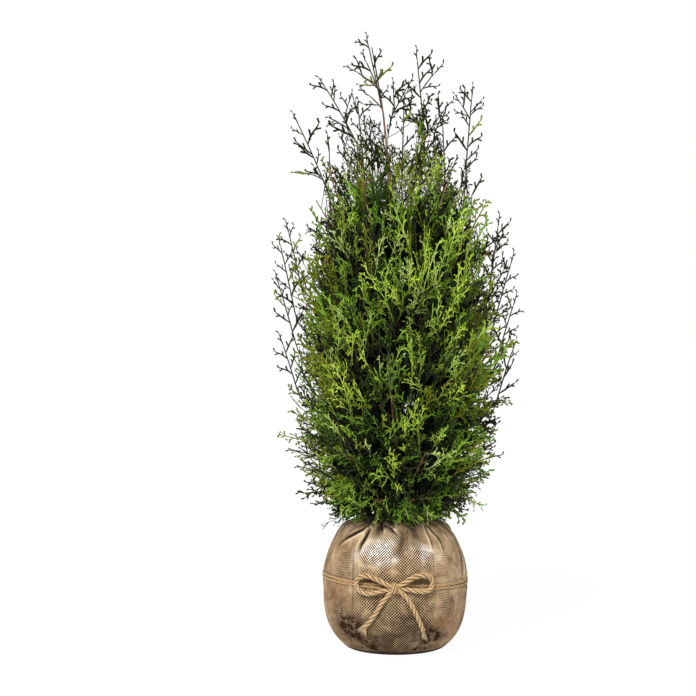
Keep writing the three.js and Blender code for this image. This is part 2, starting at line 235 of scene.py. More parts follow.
class Threads:  # closed three-sided threads, gathered into one mesh
    def __init__(self):
        self.verts, self.faces, self.stem = [], [], []

    def add(self, points, radii, flat):  # rings at all points but the last, which is the tip
        first = len(self.verts)
        normal = Vector((0, 0, 1))
        for i, point in enumerate(points[:-1]):
            along = (points[i + 1] - points[max(i - 1, 0)]).normalized()
            side = along.cross(normal)
            side = side.normalized() if side.length > 0.05 else along.orthogonal().normalized()
            top = side.cross(along)
            r = radii[i]
            self.verts += [point + side * r - top * r * flat * 0.5, point - side * r - top * r * flat * 0.5,
                           point + top * r * flat]
        rings = len(points) - 1
        for i in range(rings - 1):
            a, b = first + 3 * i, first + 3 * i + 3
            for j in range(3):
                k = (j + 1) % 3
                self.faces += [(a + j, b + j, b + k), (a + j, b + k, a + k)]
        tip, last = len(self.verts), first + 3 * (rings - 1)
        self.verts.append(points[-1])
        self.stem += [1.0] * (3 * rings + 1)
        self.faces += [(last + j, tip, last + (j + 1) % 3) for j in range(3)]
        self.faces.append((first, first + 1, first + 2))

    def addNub(self, start, end, r, flat):  # a short leafy end, thickest past its middle
        first = len(self.verts)
        along = (end - start).normalized()
        side = along.cross(Vector((0, 0, 1))).normalized()
        top = side.cross(along)
        for spot, s in ((start, 0.7 * r), (start.lerp(end, 0.82), r)):
            self.verts += [spot + side * s - top * s * flat * 0.5, spot - side * s - top * s * flat * 0.5,
                           spot + top * s * flat]
        self.verts.append(end)
        self.stem += [0.0] * 7
        self.faces.append((first, first + 1, first + 2))
        for j in range(3):
            a, b = first + j, first + (j + 1) % 3
            self.faces += [(a, a + 3, b + 3), (a, b + 3, b), (a + 3, first + 6, b + 3)]


def addNubs(threads, look, lineAt, reach, start, rnd):  # leafy ends along a line, left and right by turns
    along, side = start, rnd.choice((-1, 1))
    while along < reach * 0.97:
        u = along / reach
        root = lineAt(u)
        go = (lineAt(u + 0.04) - root).normalized()
        across = Vector((-go.y, go.x, 0)) * side
        fork = math.radians(rnd.uniform(30, 46))
        size = look["nub"] * rnd.uniform(0.75, 1.2) * (1 - 0.35 * u)
        end = root + (go * math.cos(fork) + across * math.sin(fork)) * size
        end.z += rnd.uniform(-0.4, 0.4) * size
        threads.addNub(root, end, look["nubThick"] * rnd.uniform(0.85, 1.1), look["flat"])
        along += look["nubSpacing"] * rnd.uniform(0.8, 1.2)
        side = -side


def sprayMesh(name, look, rnd):  # grows along +X in the XY plane
    threads = Threads()
    length, flat = look["length"], look["flat"]
    wave, lift = rnd.uniform(-0.08, 0.08), look["bend"] * rnd.uniform(-0.6, 1.2)
    curl = look["curl"] * rnd.uniform(-0.7, 1)

    def spineAt(t):
        return Vector((length * t, length * (wave * math.sin(5 * t) + curl * t * t), lift * t * t))

    steps = 4 if look["length"] < 60 else 6
    spine = [spineAt(i / steps) for i in range(steps + 1)]
    threads.add(spine, [look["thread"] * (0.5 if i == 0 else 1.15 - 0.4 * i / steps) for i in range(steps)], flat)
    at, side = look["first"] * length, rnd.choice((-1, 1))
    while at < 0.97 * length:
        t = at / length
        profile = (0.6 + 1.15 * t if t < 0.35 else 1.0 - 0.78 * (t - 0.35) / 0.65)
        reach = look["branch"] * profile * rnd.uniform(0.75, 1.2)
        lean = math.radians(look["angle"] + rnd.uniform(-10, 10))
        foot, heading = spineAt(t), (spineAt(t + 0.01) - spineAt(t - 0.01)).normalized()
        out = Vector((-heading.y, heading.x, 0)) * side
        out.rotate(Quaternion(heading, rnd.gauss(0, 0.5)))  # out of the spray's plane, so none is a flat card
        tilt = rnd.uniform(-0.25, 0.25)

        def branchAt(u, foot=foot, heading=heading, out=out, lean=lean, reach=reach, tilt=tilt):
            turn = lean * (1 - 0.25 * u)  # curves back towards the spine's heading
            spot = foot + (heading * math.cos(turn) + out * math.sin(turn)) * reach * u
            spot.z += tilt * reach * u * u
            return spot

        threads.add([branchAt(0), branchAt(0.5), branchAt(1)], [look["thread"] * 0.95, look["thread"] * 0.85], flat)
        addNubs(threads, look, branchAt, reach, look["bare"] * reach + rnd.uniform(0, 2), rnd)
        at += look["spacing"] * rnd.uniform(0.8, 1.2)
        side = -side
    if look["bare"] < 1:
        addNubs(threads, look, spineAt, length, (0.86 if look["branch"] else look["bare"]) * length, rnd)
    mesh = bpy.data.meshes.new(name)
    mesh.from_pydata([v * mm for v in threads.verts], [], threads.faces)
    young = [min(max(v.x / length - 0.05, 0) / 0.45, 1) for v in threads.verts]  # 0 at the foot, 1 in the outer part
    mesh.attributes.new("young", "FLOAT", "POINT").data.foreach_set("value", young)
    mesh.attributes.new("stem", "FLOAT", "POINT").data.foreach_set("value", threads.stem)
    mesh.update()
    return mesh


def makeSprays():  # the shapes, in a collection of their own, and each kind's numbers in it
    rnd = random.Random(11)
    store = bpy.data.collections.new("sprayShapes")
    numbers, sizes = {}, []
    for kind, look in sprayLooks.items():
        numbers[kind] = []
        for i in range(look["copies"]):
            name = f"shape{len(sizes):02d}"
            shape = bpy.data.objects.new(name, sprayMesh(name, look, rnd))
            store.objects.link(shape)
            numbers[kind].append(len(sizes))
            sizes.append(len(shape.data.polygons))
    return store, numbers, sizes


sprayStore, sprayNumbers, spraySizes = makeSprays()
print("spray shapes, triangles each:", spraySizes)

# ---- the crown: boughs fork into laterals, and laterals bear sprays ----

crown = {
    "seed": 7,
    "boughSlope": 1.5,  # how far below its mass a bough leaves the trunk, over the mass's distance
    "boughThick": 3.0,
    "lateralStep": 13,  # along a bough
    "lateralThick": 1.3,
    "lateralMost": 140,
    "lateralShare": 0.62,  # of the way to the crown's surface
    "twigThick": 0.75,
    "twigMost": 85,
    "overhang": 8,  # nothing passes the frame's box by more than this
    "clump": 34,  # size of the clumps and of the dark gaps between them
    "low": 242,
    "collar": {"count": 420, "reach": (50, 122)},
    "clothTop": ((50, 264), (62, 262), (93, 252), (112, 242), (130, 228)),  # radius and height
    "thinFrom": 955, "thinTo": 1085,  # heights over which the crown opens into wisps
    "fullHeights": (247, 286, 325, 383, 481, 578, 676, 773, 871, 949, 1007),  # the dense crown's half-widths
    "fullLeft": (120, 150, 174, 190, 192, 194, 184, 160, 134, 122, 92),
    "fullRight": (120, 148, 168, 186, 194, 198, 192, 178, 158, 130, 86),
    "shells": [  # layers of spray tips, by depth from the trunk to the surface
        {"depth": (1.0, 1.14), "spacing": 40, "gap": 0.5, "kinds": (("shoot", 0.5), ("fork", 0.5))},
        {"depth": (0.86, 1.02), "spacing": 19.5, "gap": 0.7, "kinds": (("fan", 0.6), ("shoot", 0.25), ("tuft", 0.15))},
        {"depth": (0.74, 0.88), "spacing": 23, "gap": 0.6, "kinds": (("fan", 0.8), ("tuft", 0.1), ("frond", 0.1))},
        {"depth": (0.60, 0.76), "spacing": 22, "gap": 0, "kinds": (("frond", 0.8), ("fan", 0.2))},
        {"depth": (0.35, 0.60), "spacing": 27, "gap": 0, "kinds": (("frond", 1.0),)},
    ],
}
riseHeights = (250, 300, 345, 400, 480, 600, 800, 1000)  # how steeply sprays rise at each height, in degrees
rises = (-30, -6, 14, 26, 36, 47, 58, 70)
massNames = sorted(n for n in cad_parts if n.startswith(("foliage_", "plume_")))
boughNames = sorted(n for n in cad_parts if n.startswith("bough_"))


class Mass:  # one mass of foliage as the frame has it: its long axis, from the foot out to the tip
    def __init__(self, name):
        points = np.array([v.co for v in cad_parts[name].data.vertices])
        centre = points.mean(0)
        axis = np.linalg.eigh(np.cov((points - centre).T))[1][:, 2]
        outward = Vector(centre) - trunkAt(centre[2])
        outward.z = 0.6 * outward.length + 0.02
        if Vector(axis).dot(outward) < 0:
            axis = -axis
        along = (points - centre) @ axis
        self.name = name
        self.middle = Vector(centre)
        self.foot = Vector(centre + axis * along.min())
        self.tip = Vector(centre + axis * along.max())


def curveThrough(points, t):  # Bezier curve of three points
    a, b, c = points
    return a * (1 - t) ** 2 + b * 2 * t * (1 - t) + c * t * t


masses = [Mass(name) for name in massNames]
surfacePoints = np.concatenate([[v.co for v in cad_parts[n].data.vertices] for n in massNames])
lowest = Vector(cadBox[0]) - Vector((1, 1, 0)) * crown["overhang"] * mm
highest = Vector(cadBox[1]) + Vector((1, 1, 1)) * crown["overhang"] * mm


class Outline:  # the crown's radius by height and compass angle, smoothed over the masses
    def __init__(self, rows, columns):
        low, high = surfacePoints[:, 2].min(), surfacePoints[:, 2].max()
        self.low, self.step, self.columns = low, (high - low) / (rows - 1), columns
        self.table = []
        centres = np.array([trunkAt(z) for z in surfacePoints[:, 2]])
        away = surfacePoints[:, :2] - centres[:, :2]
        distance, angle = np.hypot(away[:, 0], away[:, 1]), np.arctan2(away[:, 1], away[:, 0])
        for i in range(rows):
            z, row = low + i * self.step, []
            for j in range(columns):
                turn = np.abs((angle - 2 * math.pi * j / columns + math.pi) % (2 * math.pi) - math.pi)
                near = distance[(np.abs(surfacePoints[:, 2] - z) < 0.035) & (turn < 0.55)]
                row.append(float(np.percentile(near, 90)) if len(near) > 2 else 0.03)
            self.table.append(row)

    def at(self, z, angle):
        i = min(max((z - self.low) / self.step, 0), len(self.table) - 1.001)
        j = (angle / (2 * math.pi) * self.columns) % self.columns
        i0, j0 = int(i), int(j)
        j1 = (j0 + 1) % self.columns
        a, b = self.table[i0], self.table[i0 + 1]
        return mix(mix(a[j0], a[j1], j - j0), mix(b[j0], b[j1], j - j0), i - i0)

    def fitTo(self, heights, left, right):  # the dense crown's own width, kept round from all sides
        for i, row in enumerate(self.table):
            z = (self.low + i * self.step) / mm
            wide = (np.interp(z, heights, right) + trunkX(z), np.interp(z, heights, left) - trunkX(z))
            wide = [w * mm for w in wide]
            flanks = (row[0], row[self.columns // 2])
            for j in range(self.columns):
                right01 = 0.5 + 0.5 * math.cos(2 * math.pi * j / self.columns)
                row[j] *= 0.55 + 0.45 * mix(wide[1] / flanks[1], wide[0] / flanks[0], right01)
                row[j] = mix(row[j], mix(wide[1], wide[0], right01), 0.6)

    def depth(self, place):  # 0 at the trunk, 1 at the crown's surface
        centre = trunkAt(place.z)
        x, y = place.x - centre.x, place.y - centre.y
        return math.hypot(x, y) / self.at(place.z, math.atan2(y, x))

    def room(self, place, heading):  # distance to the surface
        for i in range(1, 40):
            spot = place + heading * (i * 0.007)
            if self.depth(spot) > 1 or spot.z > 1.07:
                return i * 0.007
        return 0.28


def trunkX(z):
    return -trunkAt(z * mm).x / mm


outline = Outline(30, 16)
outline.fitTo(crown["fullHeights"], crown["fullLeft"], crown["fullRight"])
print("outline, front and flank radii by height:",
      [(round(z, 2), round(outline.at(z, -math.pi / 2), 3), round(outline.at(z, 0), 3)) for z in (0.27, 0.4, 0.6, 0.8, 1.0)])


def roomInBox(place, heading):  # distance to the outermost box that growth may fill
    gone = 1.0
    for i in range(3):
        if heading[i] > 1e-5:
            gone = min(gone, (highest[i] - place[i]) / heading[i])
        elif heading[i] < -1e-5:
            gone = min(gone, (lowest[i] - place[i]) / heading[i])
    return gone


def riseAt(z):
    return math.radians(float(np.interp(z / mm, riseHeights, rises)))


# lime, pale, fresh, leaf and olive are the foliage's own tints; deep, dusk and shade are darker greens that also serve
# as painted shade inside the crown and along its edges
colourClasses = {
    "lime": "#ABC434", "pale": "#A0B660", "fresh": "#86A928", "leaf": "#5E7F1E", "olive": "#6A7212",
    "deep": "#243A0F", "dusk": "#1A2203", "shade": "#060D02",
}
placements = {name: [] for name in colourClasses}


def pick(chance, shares):  # shares: (name, how often) pairs
    for name, share in shares:
        chance -= share
        if chance < 0:
            return name
    return shares[-1][0]


def acrossAt(tip):  # how near the crown's left or right edge, seen from the front
    centre = trunkAt(tip.z)
    return abs(tip.x - centre.x) / max(outline.at(tip.z, 0 if tip.x > centre.x else math.pi), 0.08)


def dealColour(tip, kind, rnd):  # colours by place in the crown: the foliage's own tints, with painted shade that is near-black inside and darker towards the left and right edges and the top
    depth, across = outline.depth(tip), acrossAt(tip)
    patch = 0.5 + 0.75 * noise.noise(tip * (1000 / crown["clump"]))
    chance = min(max(0.5 + 1.7 * (0.45 * rnd.random() + 0.55 * patch - 0.5), 0), 0.999)
    if kind == "fork" or tip.z > 1.07:
        dusky = 0.95 if tip.z > 0.9 else 0.8
        return pick(rnd.random(), (("dusk", dusky), ("olive", 1 - dusky)))
    if tip.z > 0.96 or tip.z > 0.9 and across > 0.6:
        return pick(chance, (("dusk", 0.64), ("olive", 0.36)))
    # fronds deep in the crown are near-black: painted shade
    if kind == "frond":
        return pick(chance, (("deep", 0.6), ("leaf", 0.4))) if tip.z > 0.84 and across < 0.8 else "shade"
    if tip.z > 0.87 and across < 0.85:
        return pick(chance, (("dusk", 0.16), ("olive", 0.34), ("leaf", 0.3), ("fresh", 0.16), ("lime", 0.04)))
    # deep inside the crown: a dark green for painted shade
    if depth < 0.6:
        return "deep"
    # towards the left and right edges, and low down there: darker greens for painted shade
    if tip.z < 0.3 and across > 0.8:
        return "dusk"
    if across > 0.88:
        return pick(chance, (("dusk", 0.52), ("olive", 0.41), ("leaf", 0.07)))
    if tip.z < 0.3:
        return pick(chance, (("lime", 0.06), ("leaf", 0.3), ("fresh", 0.24), ("deep", 0.24), ("dusk", 0.16)))
    if across > 0.66:
        return pick(chance, (("olive", 0.46), ("leaf", 0.24), ("dusk", 0.18), ("fresh", 0.12)))
    if depth < 0.8:
        return pick(chance, (("fresh", 0.1), ("leaf", 0.24), ("deep", 0.36), ("shade", 0.3)))
    if tip.z < 0.46:
        return pick(chance, (("lime", 0.18), ("pale", 0.08), ("fresh", 0.28), ("leaf", 0.26), ("deep", 0.2)))
    return pick(chance, (("lime", 0.27), ("pale", 0.1), ("fresh", 0.3), ("leaf", 0.24), ("olive", 0.09)))


def placeSpray(place, heading, flank, length, rnd, kind):
    length = min(length, roomInBox(place, heading))
    if length < 0.01:
        return
    size = min(max(length / (sprayLooks[kind]["length"] * mm), 0.75 if kind == "fork" else 0.45), 1.25)
    flank = (flank - heading * flank.dot(heading)).normalized()
    turn = Matrix((heading, flank, heading.cross(flank))).transposed().to_euler()
    tip = place + heading * 0.045
    colour = dealColour(tip, kind, rnd)
    if colour == "dusk" or acrossAt(tip) > 0.7:  # stouter ones against the sky
        kind = {"shoot": "lace", "fan": "lacelet"}.get(kind, kind)
    number = rnd.choice(sprayNumbers[kind])
    placements[colour].append((place, turn, size, number))


class Limbs:  # tapering round twigs and boughs, gathered into one mesh
    def __init__(self, relief=0):
        self.verts, self.faces, self.ways = [], [], []
        self.relief = relief  # depth of the bark's strips, as a share of the radius

    def add(self, points, thick, taper, sides=5, radii=None):  # radii, in mm, stand in for thick and taper
        first, last = len(self.verts), len(points) - 1
        side = (points[1] - points[0]).orthogonal().normalized()
        gone = 0
        for i, point in enumerate(points):
            along = (points[min(i + 1, last)] - points[max(i - 1, 0)]).normalized()
            side = (side - along * side.dot(along)).normalized()
            cross = along.cross(side)
            r = (radii[i] if radii else thick * mix(1, taper, i / last)) * mm
            gone += (point - points[i - 1]).length if i else 0
            for j in range(sides):
                a = 2 * math.pi * j / sides
                way = Vector((math.cos(a) * r, math.sin(a) * r, gone + 3.1 * first * mm))
                strips = noise.noise(Vector((way.x * 420, way.y * 420, way.z * 26)))
                strips += 0.5 * noise.noise(Vector((way.x * 1100, way.y * 1100, way.z * 60)))
                lump = r * (1 + self.relief * (0.8 - 2.4 * abs(strips)))
                self.verts.append(point + (side * math.cos(a) + cross * math.sin(a)) * lump)
                self.ways.append(way)
        for i in range(last):
            for j in range(sides):
                a, b, k = first + i * sides, first + (i + 1) * sides, (j + 1) % sides
                self.faces.append((a + j, a + k, b + k, b + j))
        self.faces.append(tuple(first + j for j in reversed(range(sides))))
        self.faces.append(tuple(first + last * sides + j for j in range(sides)))


limbs, twigs = Limbs(relief=0.22), Limbs()
joints = []  # points on the limbs that a twig may grow from


def addLimb(points, thick, taper, mesh=None):
    if mesh:
        mesh.add(points, thick, taper)
    else:
        limbs.add(points, thick, taper, sides=9)
    for a, b in zip(points, points[1:]):
        steps = max(1, round((b - a).length / 0.01))
        joints.extend(a.lerp(b, i / steps) for i in range(steps))


def growMass(mass, boughFoot, boughThick, rnd):
    line = (boughFoot, mass.foot.lerp(boughFoot, 0.15) - up * 0.004, mass.foot)
    inside = (mass.foot, mass.middle, mass.tip)
    addLimb([curveThrough(line, i / 14) for i in range(14)] + [curveThrough(inside, 0.85 * i / 26) for i in range(27)],
            boughThick, 0.3)
    count = max(3, round((mass.tip - mass.foot).length / (crown["lateralStep"] * mm)))
    turn = rnd.uniform(0, 360)
    for i in range(count):
        t = mix(-0.25, 0.8, (i + 0.5) / count)
        foot = curveThrough(inside, t) if t > 0 else curveThrough(line, 1 + t)
        ahead = (curveThrough(inside, max(t, 0) + 0.04) - curveThrough(inside, max(t, 0))).normalized()
        turn += 137.5
        side = ahead.orthogonal().normalized()
        side.rotate(Quaternion(ahead, math.radians(turn + rnd.uniform(-14, 14))))
        lean = math.radians(mix(62, 36, max(t, 0)))
        heading = (ahead * math.cos(lean) + side * math.sin(lean) + up * 0.5 * math.sin(riseAt(foot.z))).normalized()
        length = min(outline.room(foot, heading) * crown["lateralShare"], crown["lateralMost"] * mm)
        heading.z = max(heading.z, (0.268 - foot.z) / max(length, 0.01))  # clear of the cloth
        if length > 0.02:
            bend = up * length * 0.14 * math.sin(riseAt(foot.z))
            course = (foot, foot + heading * length * 0.5 - bend, foot + heading * length + bend)
            addLimb([curveThrough(course, k / 4) for k in range(5)], crown["lateralThick"], 0.5, twigs)


def growSprays(rnd):
    tree = KDTree(len(joints))
    for i, joint in enumerate(joints):
        tree.insert(joint, i)
    tree.balance()
    bottom, top = crown["low"] * mm, crown["thinTo"] * mm
    girths = np.array([sum(outline.at(z, a) for a in np.linspace(0, 6, 9)) / 9 for z in np.linspace(bottom, top, 60)])
    share = np.concatenate([[0], np.cumsum(girths)])
    area = 2 * math.pi * girths.mean() * (top - bottom)
    for shell in crown["shells"]:
        middle = sum(shell["depth"]) / 2
        count = round(area * middle / (shell["spacing"] * mm) ** 2)
        for i in range(count):
            z = float(np.interp((i + rnd.random()) / count * share[-1], share, np.linspace(bottom, top, 61)))
            angle = math.radians(i * 137.508) + rnd.uniform(-0.05, 0.05)
            thin = (z / mm - crown["thinFrom"]) / (crown["thinTo"] - crown["thinFrom"])
            if rnd.random() < (0.95 if middle > 0.75 else 1.2) * thin:
                continue
            centre = trunkAt(z)
            out = Vector((math.cos(angle), math.sin(angle), 0))
            tip = centre + out * outline.at(z, angle) * rnd.uniform(*shell["depth"])
            if noise.noise(tip * (1000 / crown["clump"]) + Vector((7, 3, 5))) < shell["gap"] - 0.75:
                continue
            kind = pick(rnd.random(), shell["kinds"])
            if kind == "frond" and z > 0.91:
                kind = "fan"
            if middle > 0.9 and abs(out.x) > 0.75 and rnd.random() < (0.46 if z > 0.5 else 0.32):  # looser at the flanks
                continue
            length = sprayLooks[kind]["length"] * mm * rnd.uniform(0.75, 1.1)
            if kind == "shoot":
                tip += out * 0.01
            rise = riseAt(z) + math.radians(rnd.gauss(0, 14))
            heading = out * math.cos(rise) + up * math.sin(rise)
            heading.rotate(Quaternion(out, math.radians(rnd.gauss(0, 17))))
            growSpray(tree, tip, heading, length, kind, rnd)
    for i in range(crown["collar"]["count"]):  # short sprays that hang round the neck
        angle = math.radians(i * 137.508)
        out = Vector((math.cos(angle), math.sin(angle), 0))
        reach, side = rnd.uniform(*crown["collar"]["reach"]) * mm, abs(out.x)
        z = mix(0.276, mix(0.25, 0.243, side ** 2), reach / 0.12) + rnd.uniform(0.002, 0.034)
        tip = out * reach + up * z
        heading = (out + up * math.tan(math.radians(rnd.gauss(-8, 16)))).normalized()
        kind = rnd.choice(("fan", "tuft", "tuft", "frond"))
        growSpray(tree, tip, heading, sprayLooks[kind]["length"] * mm * rnd.uniform(0.6, 0.9), kind, rnd)


def growSpray(tree, tip, heading, length, kind, rnd):  # its foot joins the nearest limb by a twig
    foot = tip - heading * length
    centre = trunkAt(foot.z)
    inward = (foot - centre).dot(Vector((heading.x, heading.y, 0)))
    if inward < 0.01:  # too long for the room there
        length *= 0.7
        foot = tip - heading * length
    spots = tree.find_n(foot - heading * 0.012, 3)
    joint = rnd.choice(spots)[0]
    gap = (foot - joint).length
    least = mix(0.232, rnd.choice((0.243, 0.25, 0.253)), abs(tip.y - centre.y) / max((tip - centre).length, 0.01))
    if gap > crown["twigMost"] * mm or joint.z - foot.z > 0.03 or min(foot.z, tip.z) < least:
        return
    for spot in (foot, tip, foot.lerp(tip, 0.5)):  # nothing passes through the cloth
        if spot.z < np.interp(math.hypot(spot.x, spot.y) / mm, *zip(*crown["clothTop"])) * mm + 0.004:
            return
    if foot.z > 0.8 and foot.z - joint.z < 0.5 * math.hypot(foot.x - joint.x, foot.y - joint.y):
        return  # no level twigs in the open top
    across = Vector((-heading.y, heading.x, 0))
    across = across.normalized() if across.length > 0.05 else heading.orthogonal().normalized()
    flank = across.cross(heading)  # sprays stand on edge, in planes through the trunk, more or less
    flank.rotate(Quaternion(heading, rnd.gauss(0, 0.75)))
    if gap > 0.004:
        course = (joint, foot - heading * gap * 0.45, foot + heading * 0.002)
        twigs.add([curveThrough(course, k / 3) for k in range(4)], crown["twigThick"] * 1.15, 0.8, 3)
    placeSpray(foot, heading, flank, length, rnd, kind)


topShoots = [  # foot and tip of each long shoot that stands clear of the crown, in mm; side shoots follow theirs
    ((-26, 0, 1050), (-57, 0, 1195)), ((-34, -3, 1086), (-97, -8, 1130)), ((-36, 4, 1090), (-66, 8, 1163)),
    ((-36, -2, 1098), (-4, -6, 1136)), ((-30, -4, 1045), (-71, -12, 1087)), ((-8, 5, 1030), (36, 8, 1111)),
    ((-4, -8, 1045), (-5, -12, 1103)), ((14, 6, 1060), (37, 10, 1078)),
    ((58, 0, 990), (41, 2, 1170)), ((56, 2, 1130), (73, 6, 1163)), ((57, -2, 1078), (94, -8, 1135)),
    ((58, -4, 995), (0, -14, 1085)), ((62, -12, 985), (112, -24, 1062)), ((92, -20, 1030), (80, -24, 1056)),
    ((96, -12, 930), (91, -14, 1039)), ((66, 10, 1000), (49, 16, 1041)),
    ((138, 0, 930), (152, 3, 1097)), ((143, 4, 1032), (116, 12, 1080)), ((146, -3, 1040), (172, -10, 1068)),
    ((140, 6, 975), (173, 14, 1000)), ((130, -10, 930), (161, -14, 956)), ((150, 8, 880), (173, 12, 922)),
    ((-74, 0, 980), (-149, -6, 1109)), ((-112, 4, 1082), (-118, 10, 1105)), ((-88, 8, 1040), (-84, 12, 1084)),
    ((-84, -10, 1000), (-132, -20, 1029)), ((-128, 0, 880), (-200, 2, 1041)), ((-156, 8, 956), (-196, 14, 984)),
    ((-160, -4, 990), (-146, -10, 1024)), ((-144, 4, 900), (-192, 8, 928)), ((-128, -8, 960), (-133, -14, 1001)),
    ((-180, -8, 690), (-213, -10, 831)), ((-195, 6, 650), (-229, 8, 806)), ((-196, -4, 600), (-234, -6, 730)),
    ((-190, -12, 500), (-226, -16, 612)),
    ((185, 0, 700), (205, 4, 845)), ((195, -8, 640), (232, -10, 770)), ((200, 10, 560), (240, 12, 690)),
    ((198, -4, 480), (236, -6, 600)), ((10, -90, 900), (14, -112, 1058)), ((-40, 95, 890), (-48, 118, 1050)),
    ((50, 85, 900), (62, 104, 1064)), ((-60, -80, 900), (-74, -98, 1052)),
]
shootJoints = []


def growShoot(foot, tip, rnd):  # a long bare-footed stem with forked side twigs
    foot, tip = Vector(foot) * mm, Vector(tip) * mm
    near = min(shootJoints, key=lambda j: (j - foot).length, default=up * 9)
    base = trunkAt(foot.z - 1.9 * (foot - trunkAt(foot.z)).length)
    if (near - foot).length < 0.022:  # a side shoot
        foot = near
    elif foot.z > 0.86 and (foot - trunkAt(foot.z)).length > 0.02:
        bend = Vector((foot.x, foot.y, mix(base.z, foot.z, 0.4)))
        limbs.add([curveThrough((base, bend, foot), i / 24) for i in range(25)], 1.6, 0.75, sides=7)
    span, wide = (tip - foot).length, math.hypot(tip.x - foot.x, tip.y - foot.y)
    bow = (foot, foot.lerp(tip, 0.5) + up * 0.14 * wide, tip)
    if foot.z <= 0.86 and foot != near:  # on from a limb inside, without a kink
        back = foot - (bow[1] - foot).normalized() * 0.07
        base = min((j for j in joints if outline.depth(j) < 0.75 and j.z < foot.z - 0.03), key=lambda j: (j - back).length)
        back = foot - (bow[1] - foot).normalized() * 0.5 * (foot - base).length
        twigs.add([curveThrough((base, back, foot), i / 10) for i in range(11)], 1.3, 0.9)
    if span < 0.055:
        placeSpray(foot, (tip - foot).normalized(), Vector((1, 0.3, 0)), span, rnd, "fork")
        return
    last = 1 - 0.03 / span
    twigs.add([curveThrough(bow, last * i / 8) for i in range(9)], 1.5, 0.8)
    shootJoints.extend(curveThrough(bow, i / 12) for i in range(12))
    at, side = 0.1 * span, rnd.choice((-1, 1))
    turn = rnd.uniform(-0.4, 0.4)
    while at < span * last:
        t = at / span
        place = curveThrough(bow, t)
        ahead = (curveThrough(bow, t + 0.05) - place).normalized()
        flank = Vector((math.cos(turn), math.sin(turn), 0)) * side
        flank = (flank - ahead * flank.dot(ahead)).normalized()
        lean = math.radians(rnd.uniform(34, 46))
        go = ahead * math.cos(lean) + flank * math.sin(lean)
        length = 0.036 * rnd.uniform(0.6, 1.4) * mix(1.15, 0.75, t)
        placeSpray(place, go, flank, length, rnd, "fork")
        at += mix(0.02, 0.03, t) * (1.35 if tip.z > 1.12 else 1 if tip.z > 0.95 else 0.68) * rnd.uniform(0.8, 1.3)
        side = -side
        turn += rnd.uniform(-0.4, 0.4)
    end = curveThrough(bow, last)
    placeSpray(end, (tip - end).normalized(), Vector((1, 0.3, 0)), (tip - end).length, rnd, "fork")


def growCrown():
    rnd = random.Random(crown["seed"])
    joints.extend(trunkAt(z) for z in np.arange(0.27, 1.0, 0.01))
    carried = {}
    for name in boughNames:  # which mass each bough of the frame carries, and where it leaves the trunk
        line = limbLine(name, 8)
        end = line[-1][0]
        mass = min(masses, key=lambda m: (m.foot - end).length)
        carried[mass.name] = line
    for mass in masses:
        if mass.name.startswith("plume"):
            continue
        if mass.name in carried:
            line = carried[mass.name]
            foot, thick = line[0][0], line[0][1] / mm
        else:
            out = (mass.foot - trunkAt(mass.foot.z)).length
            z = max(mass.foot.z - crown["boughSlope"] * out, trunkLine[0][0].z + 0.01)
            foot, thick = trunkAt(z), crown["boughThick"]
        growMass(mass, foot, thick, rnd)
    for foot, tip in topShoots:
        growShoot(foot, tip, rnd)
    growSprays(rnd)


growCrown()
total = {name: sum(spraySizes[n] for p, e, s, n in rows) for name, rows in placements.items()}
print("sprays:", {n: len(r) for n, r in placements.items()}, "triangles:", total, sum(total.values()))

# ---- foliage finishes ----

leafFinish = {"mottle": 9, "scaleLeaf": 2.2, "roughness": 0.6, "gloss": 0.08, "bump": 0.25,
              "oldAndShadedFoot": 0.28,  # the foot of a spray, darker than its tips: partly older growth, partly painted shade where it runs into the crown
              "stem": "#C2CF86", "stemHighlightShare": 0.24}  # the bright sprays' stems are paler than their leaves: a painted highlight along the thin stems


def leafMaterial(name, hexColour):  # living scale leaves: waxy, a little mottled, with fine scales
    material, tree, shader = newMaterial(name, Roughness=leafFinish["roughness"], Specular_IOR_Level=leafFinish["gloss"])
    place = addNode(tree, "ShaderNodeTexCoord").outputs["Object"]
    mottle = addNode(tree, "ShaderNodeTexNoise", {"Vector": place, "Scale": 1000 / leafFinish["mottle"], "Detail": 2.0})
    colour = toLinear(hexColour)
    paler = [min(c * 1.35 + 0.01, 1) for c in colour[:3]] + [1]
    deeper = [c * 0.62 for c in colour[:3]] + [1]
    mixed = addNode(tree, "ShaderNodeMix", {"Factor": mottle.outputs["Fac"], "A": deeper, "B": paler}, data_type="RGBA")
    # darker towards each spray's foot: partly older growth, partly painted shade
    young = addNode(tree, "ShaderNodeAttribute", attribute_name="young").outputs["Fac"]
    agedAndShadedFoot = addNode(tree, "ShaderNodeMix", {"Factor": young, "A": [c * leafFinish["oldAndShadedFoot"] for c in colour[:3]] + [1],
                                              "B": mixed.outputs["Result"]}, data_type="RGBA")
    finished = agedAndShadedFoot.outputs["Result"]
    # paler stems on the bright sprays: a painted highlight
    if name.startswith(("lime", "pale", "fresh")):
        stem = addNode(tree, "ShaderNodeAttribute", attribute_name="stem").outputs["Fac"]
        ofStem = addNode(tree, "ShaderNodeMath", {0: stem, 1: young}, operation="MULTIPLY").outputs[0]
        share = addNode(tree, "ShaderNodeMath", {0: ofStem, 1: leafFinish["stemHighlightShare"]}, operation="MULTIPLY")
        finished = addNode(tree, "ShaderNodeMix", {"Factor": share.outputs[0], "A": finished,
                                                   "B": toLinear(leafFinish["stem"])}, data_type="RGBA").outputs["Result"]
    tree.links.new(finished, shader.inputs["Base Color"])
    scales = addNode(tree, "ShaderNodeTexVoronoi", {"Vector": place, "Scale": 1000 / leafFinish["scaleLeaf"]})
    bump = addNode(tree, "ShaderNodeBump", {"Height": scales.outputs["Distance"], "Strength": leafFinish["bump"], "Distance": 0.0004})
    tree.links.new(bump.outputs["Normal"], shader.inputs["Normal"])
    return material


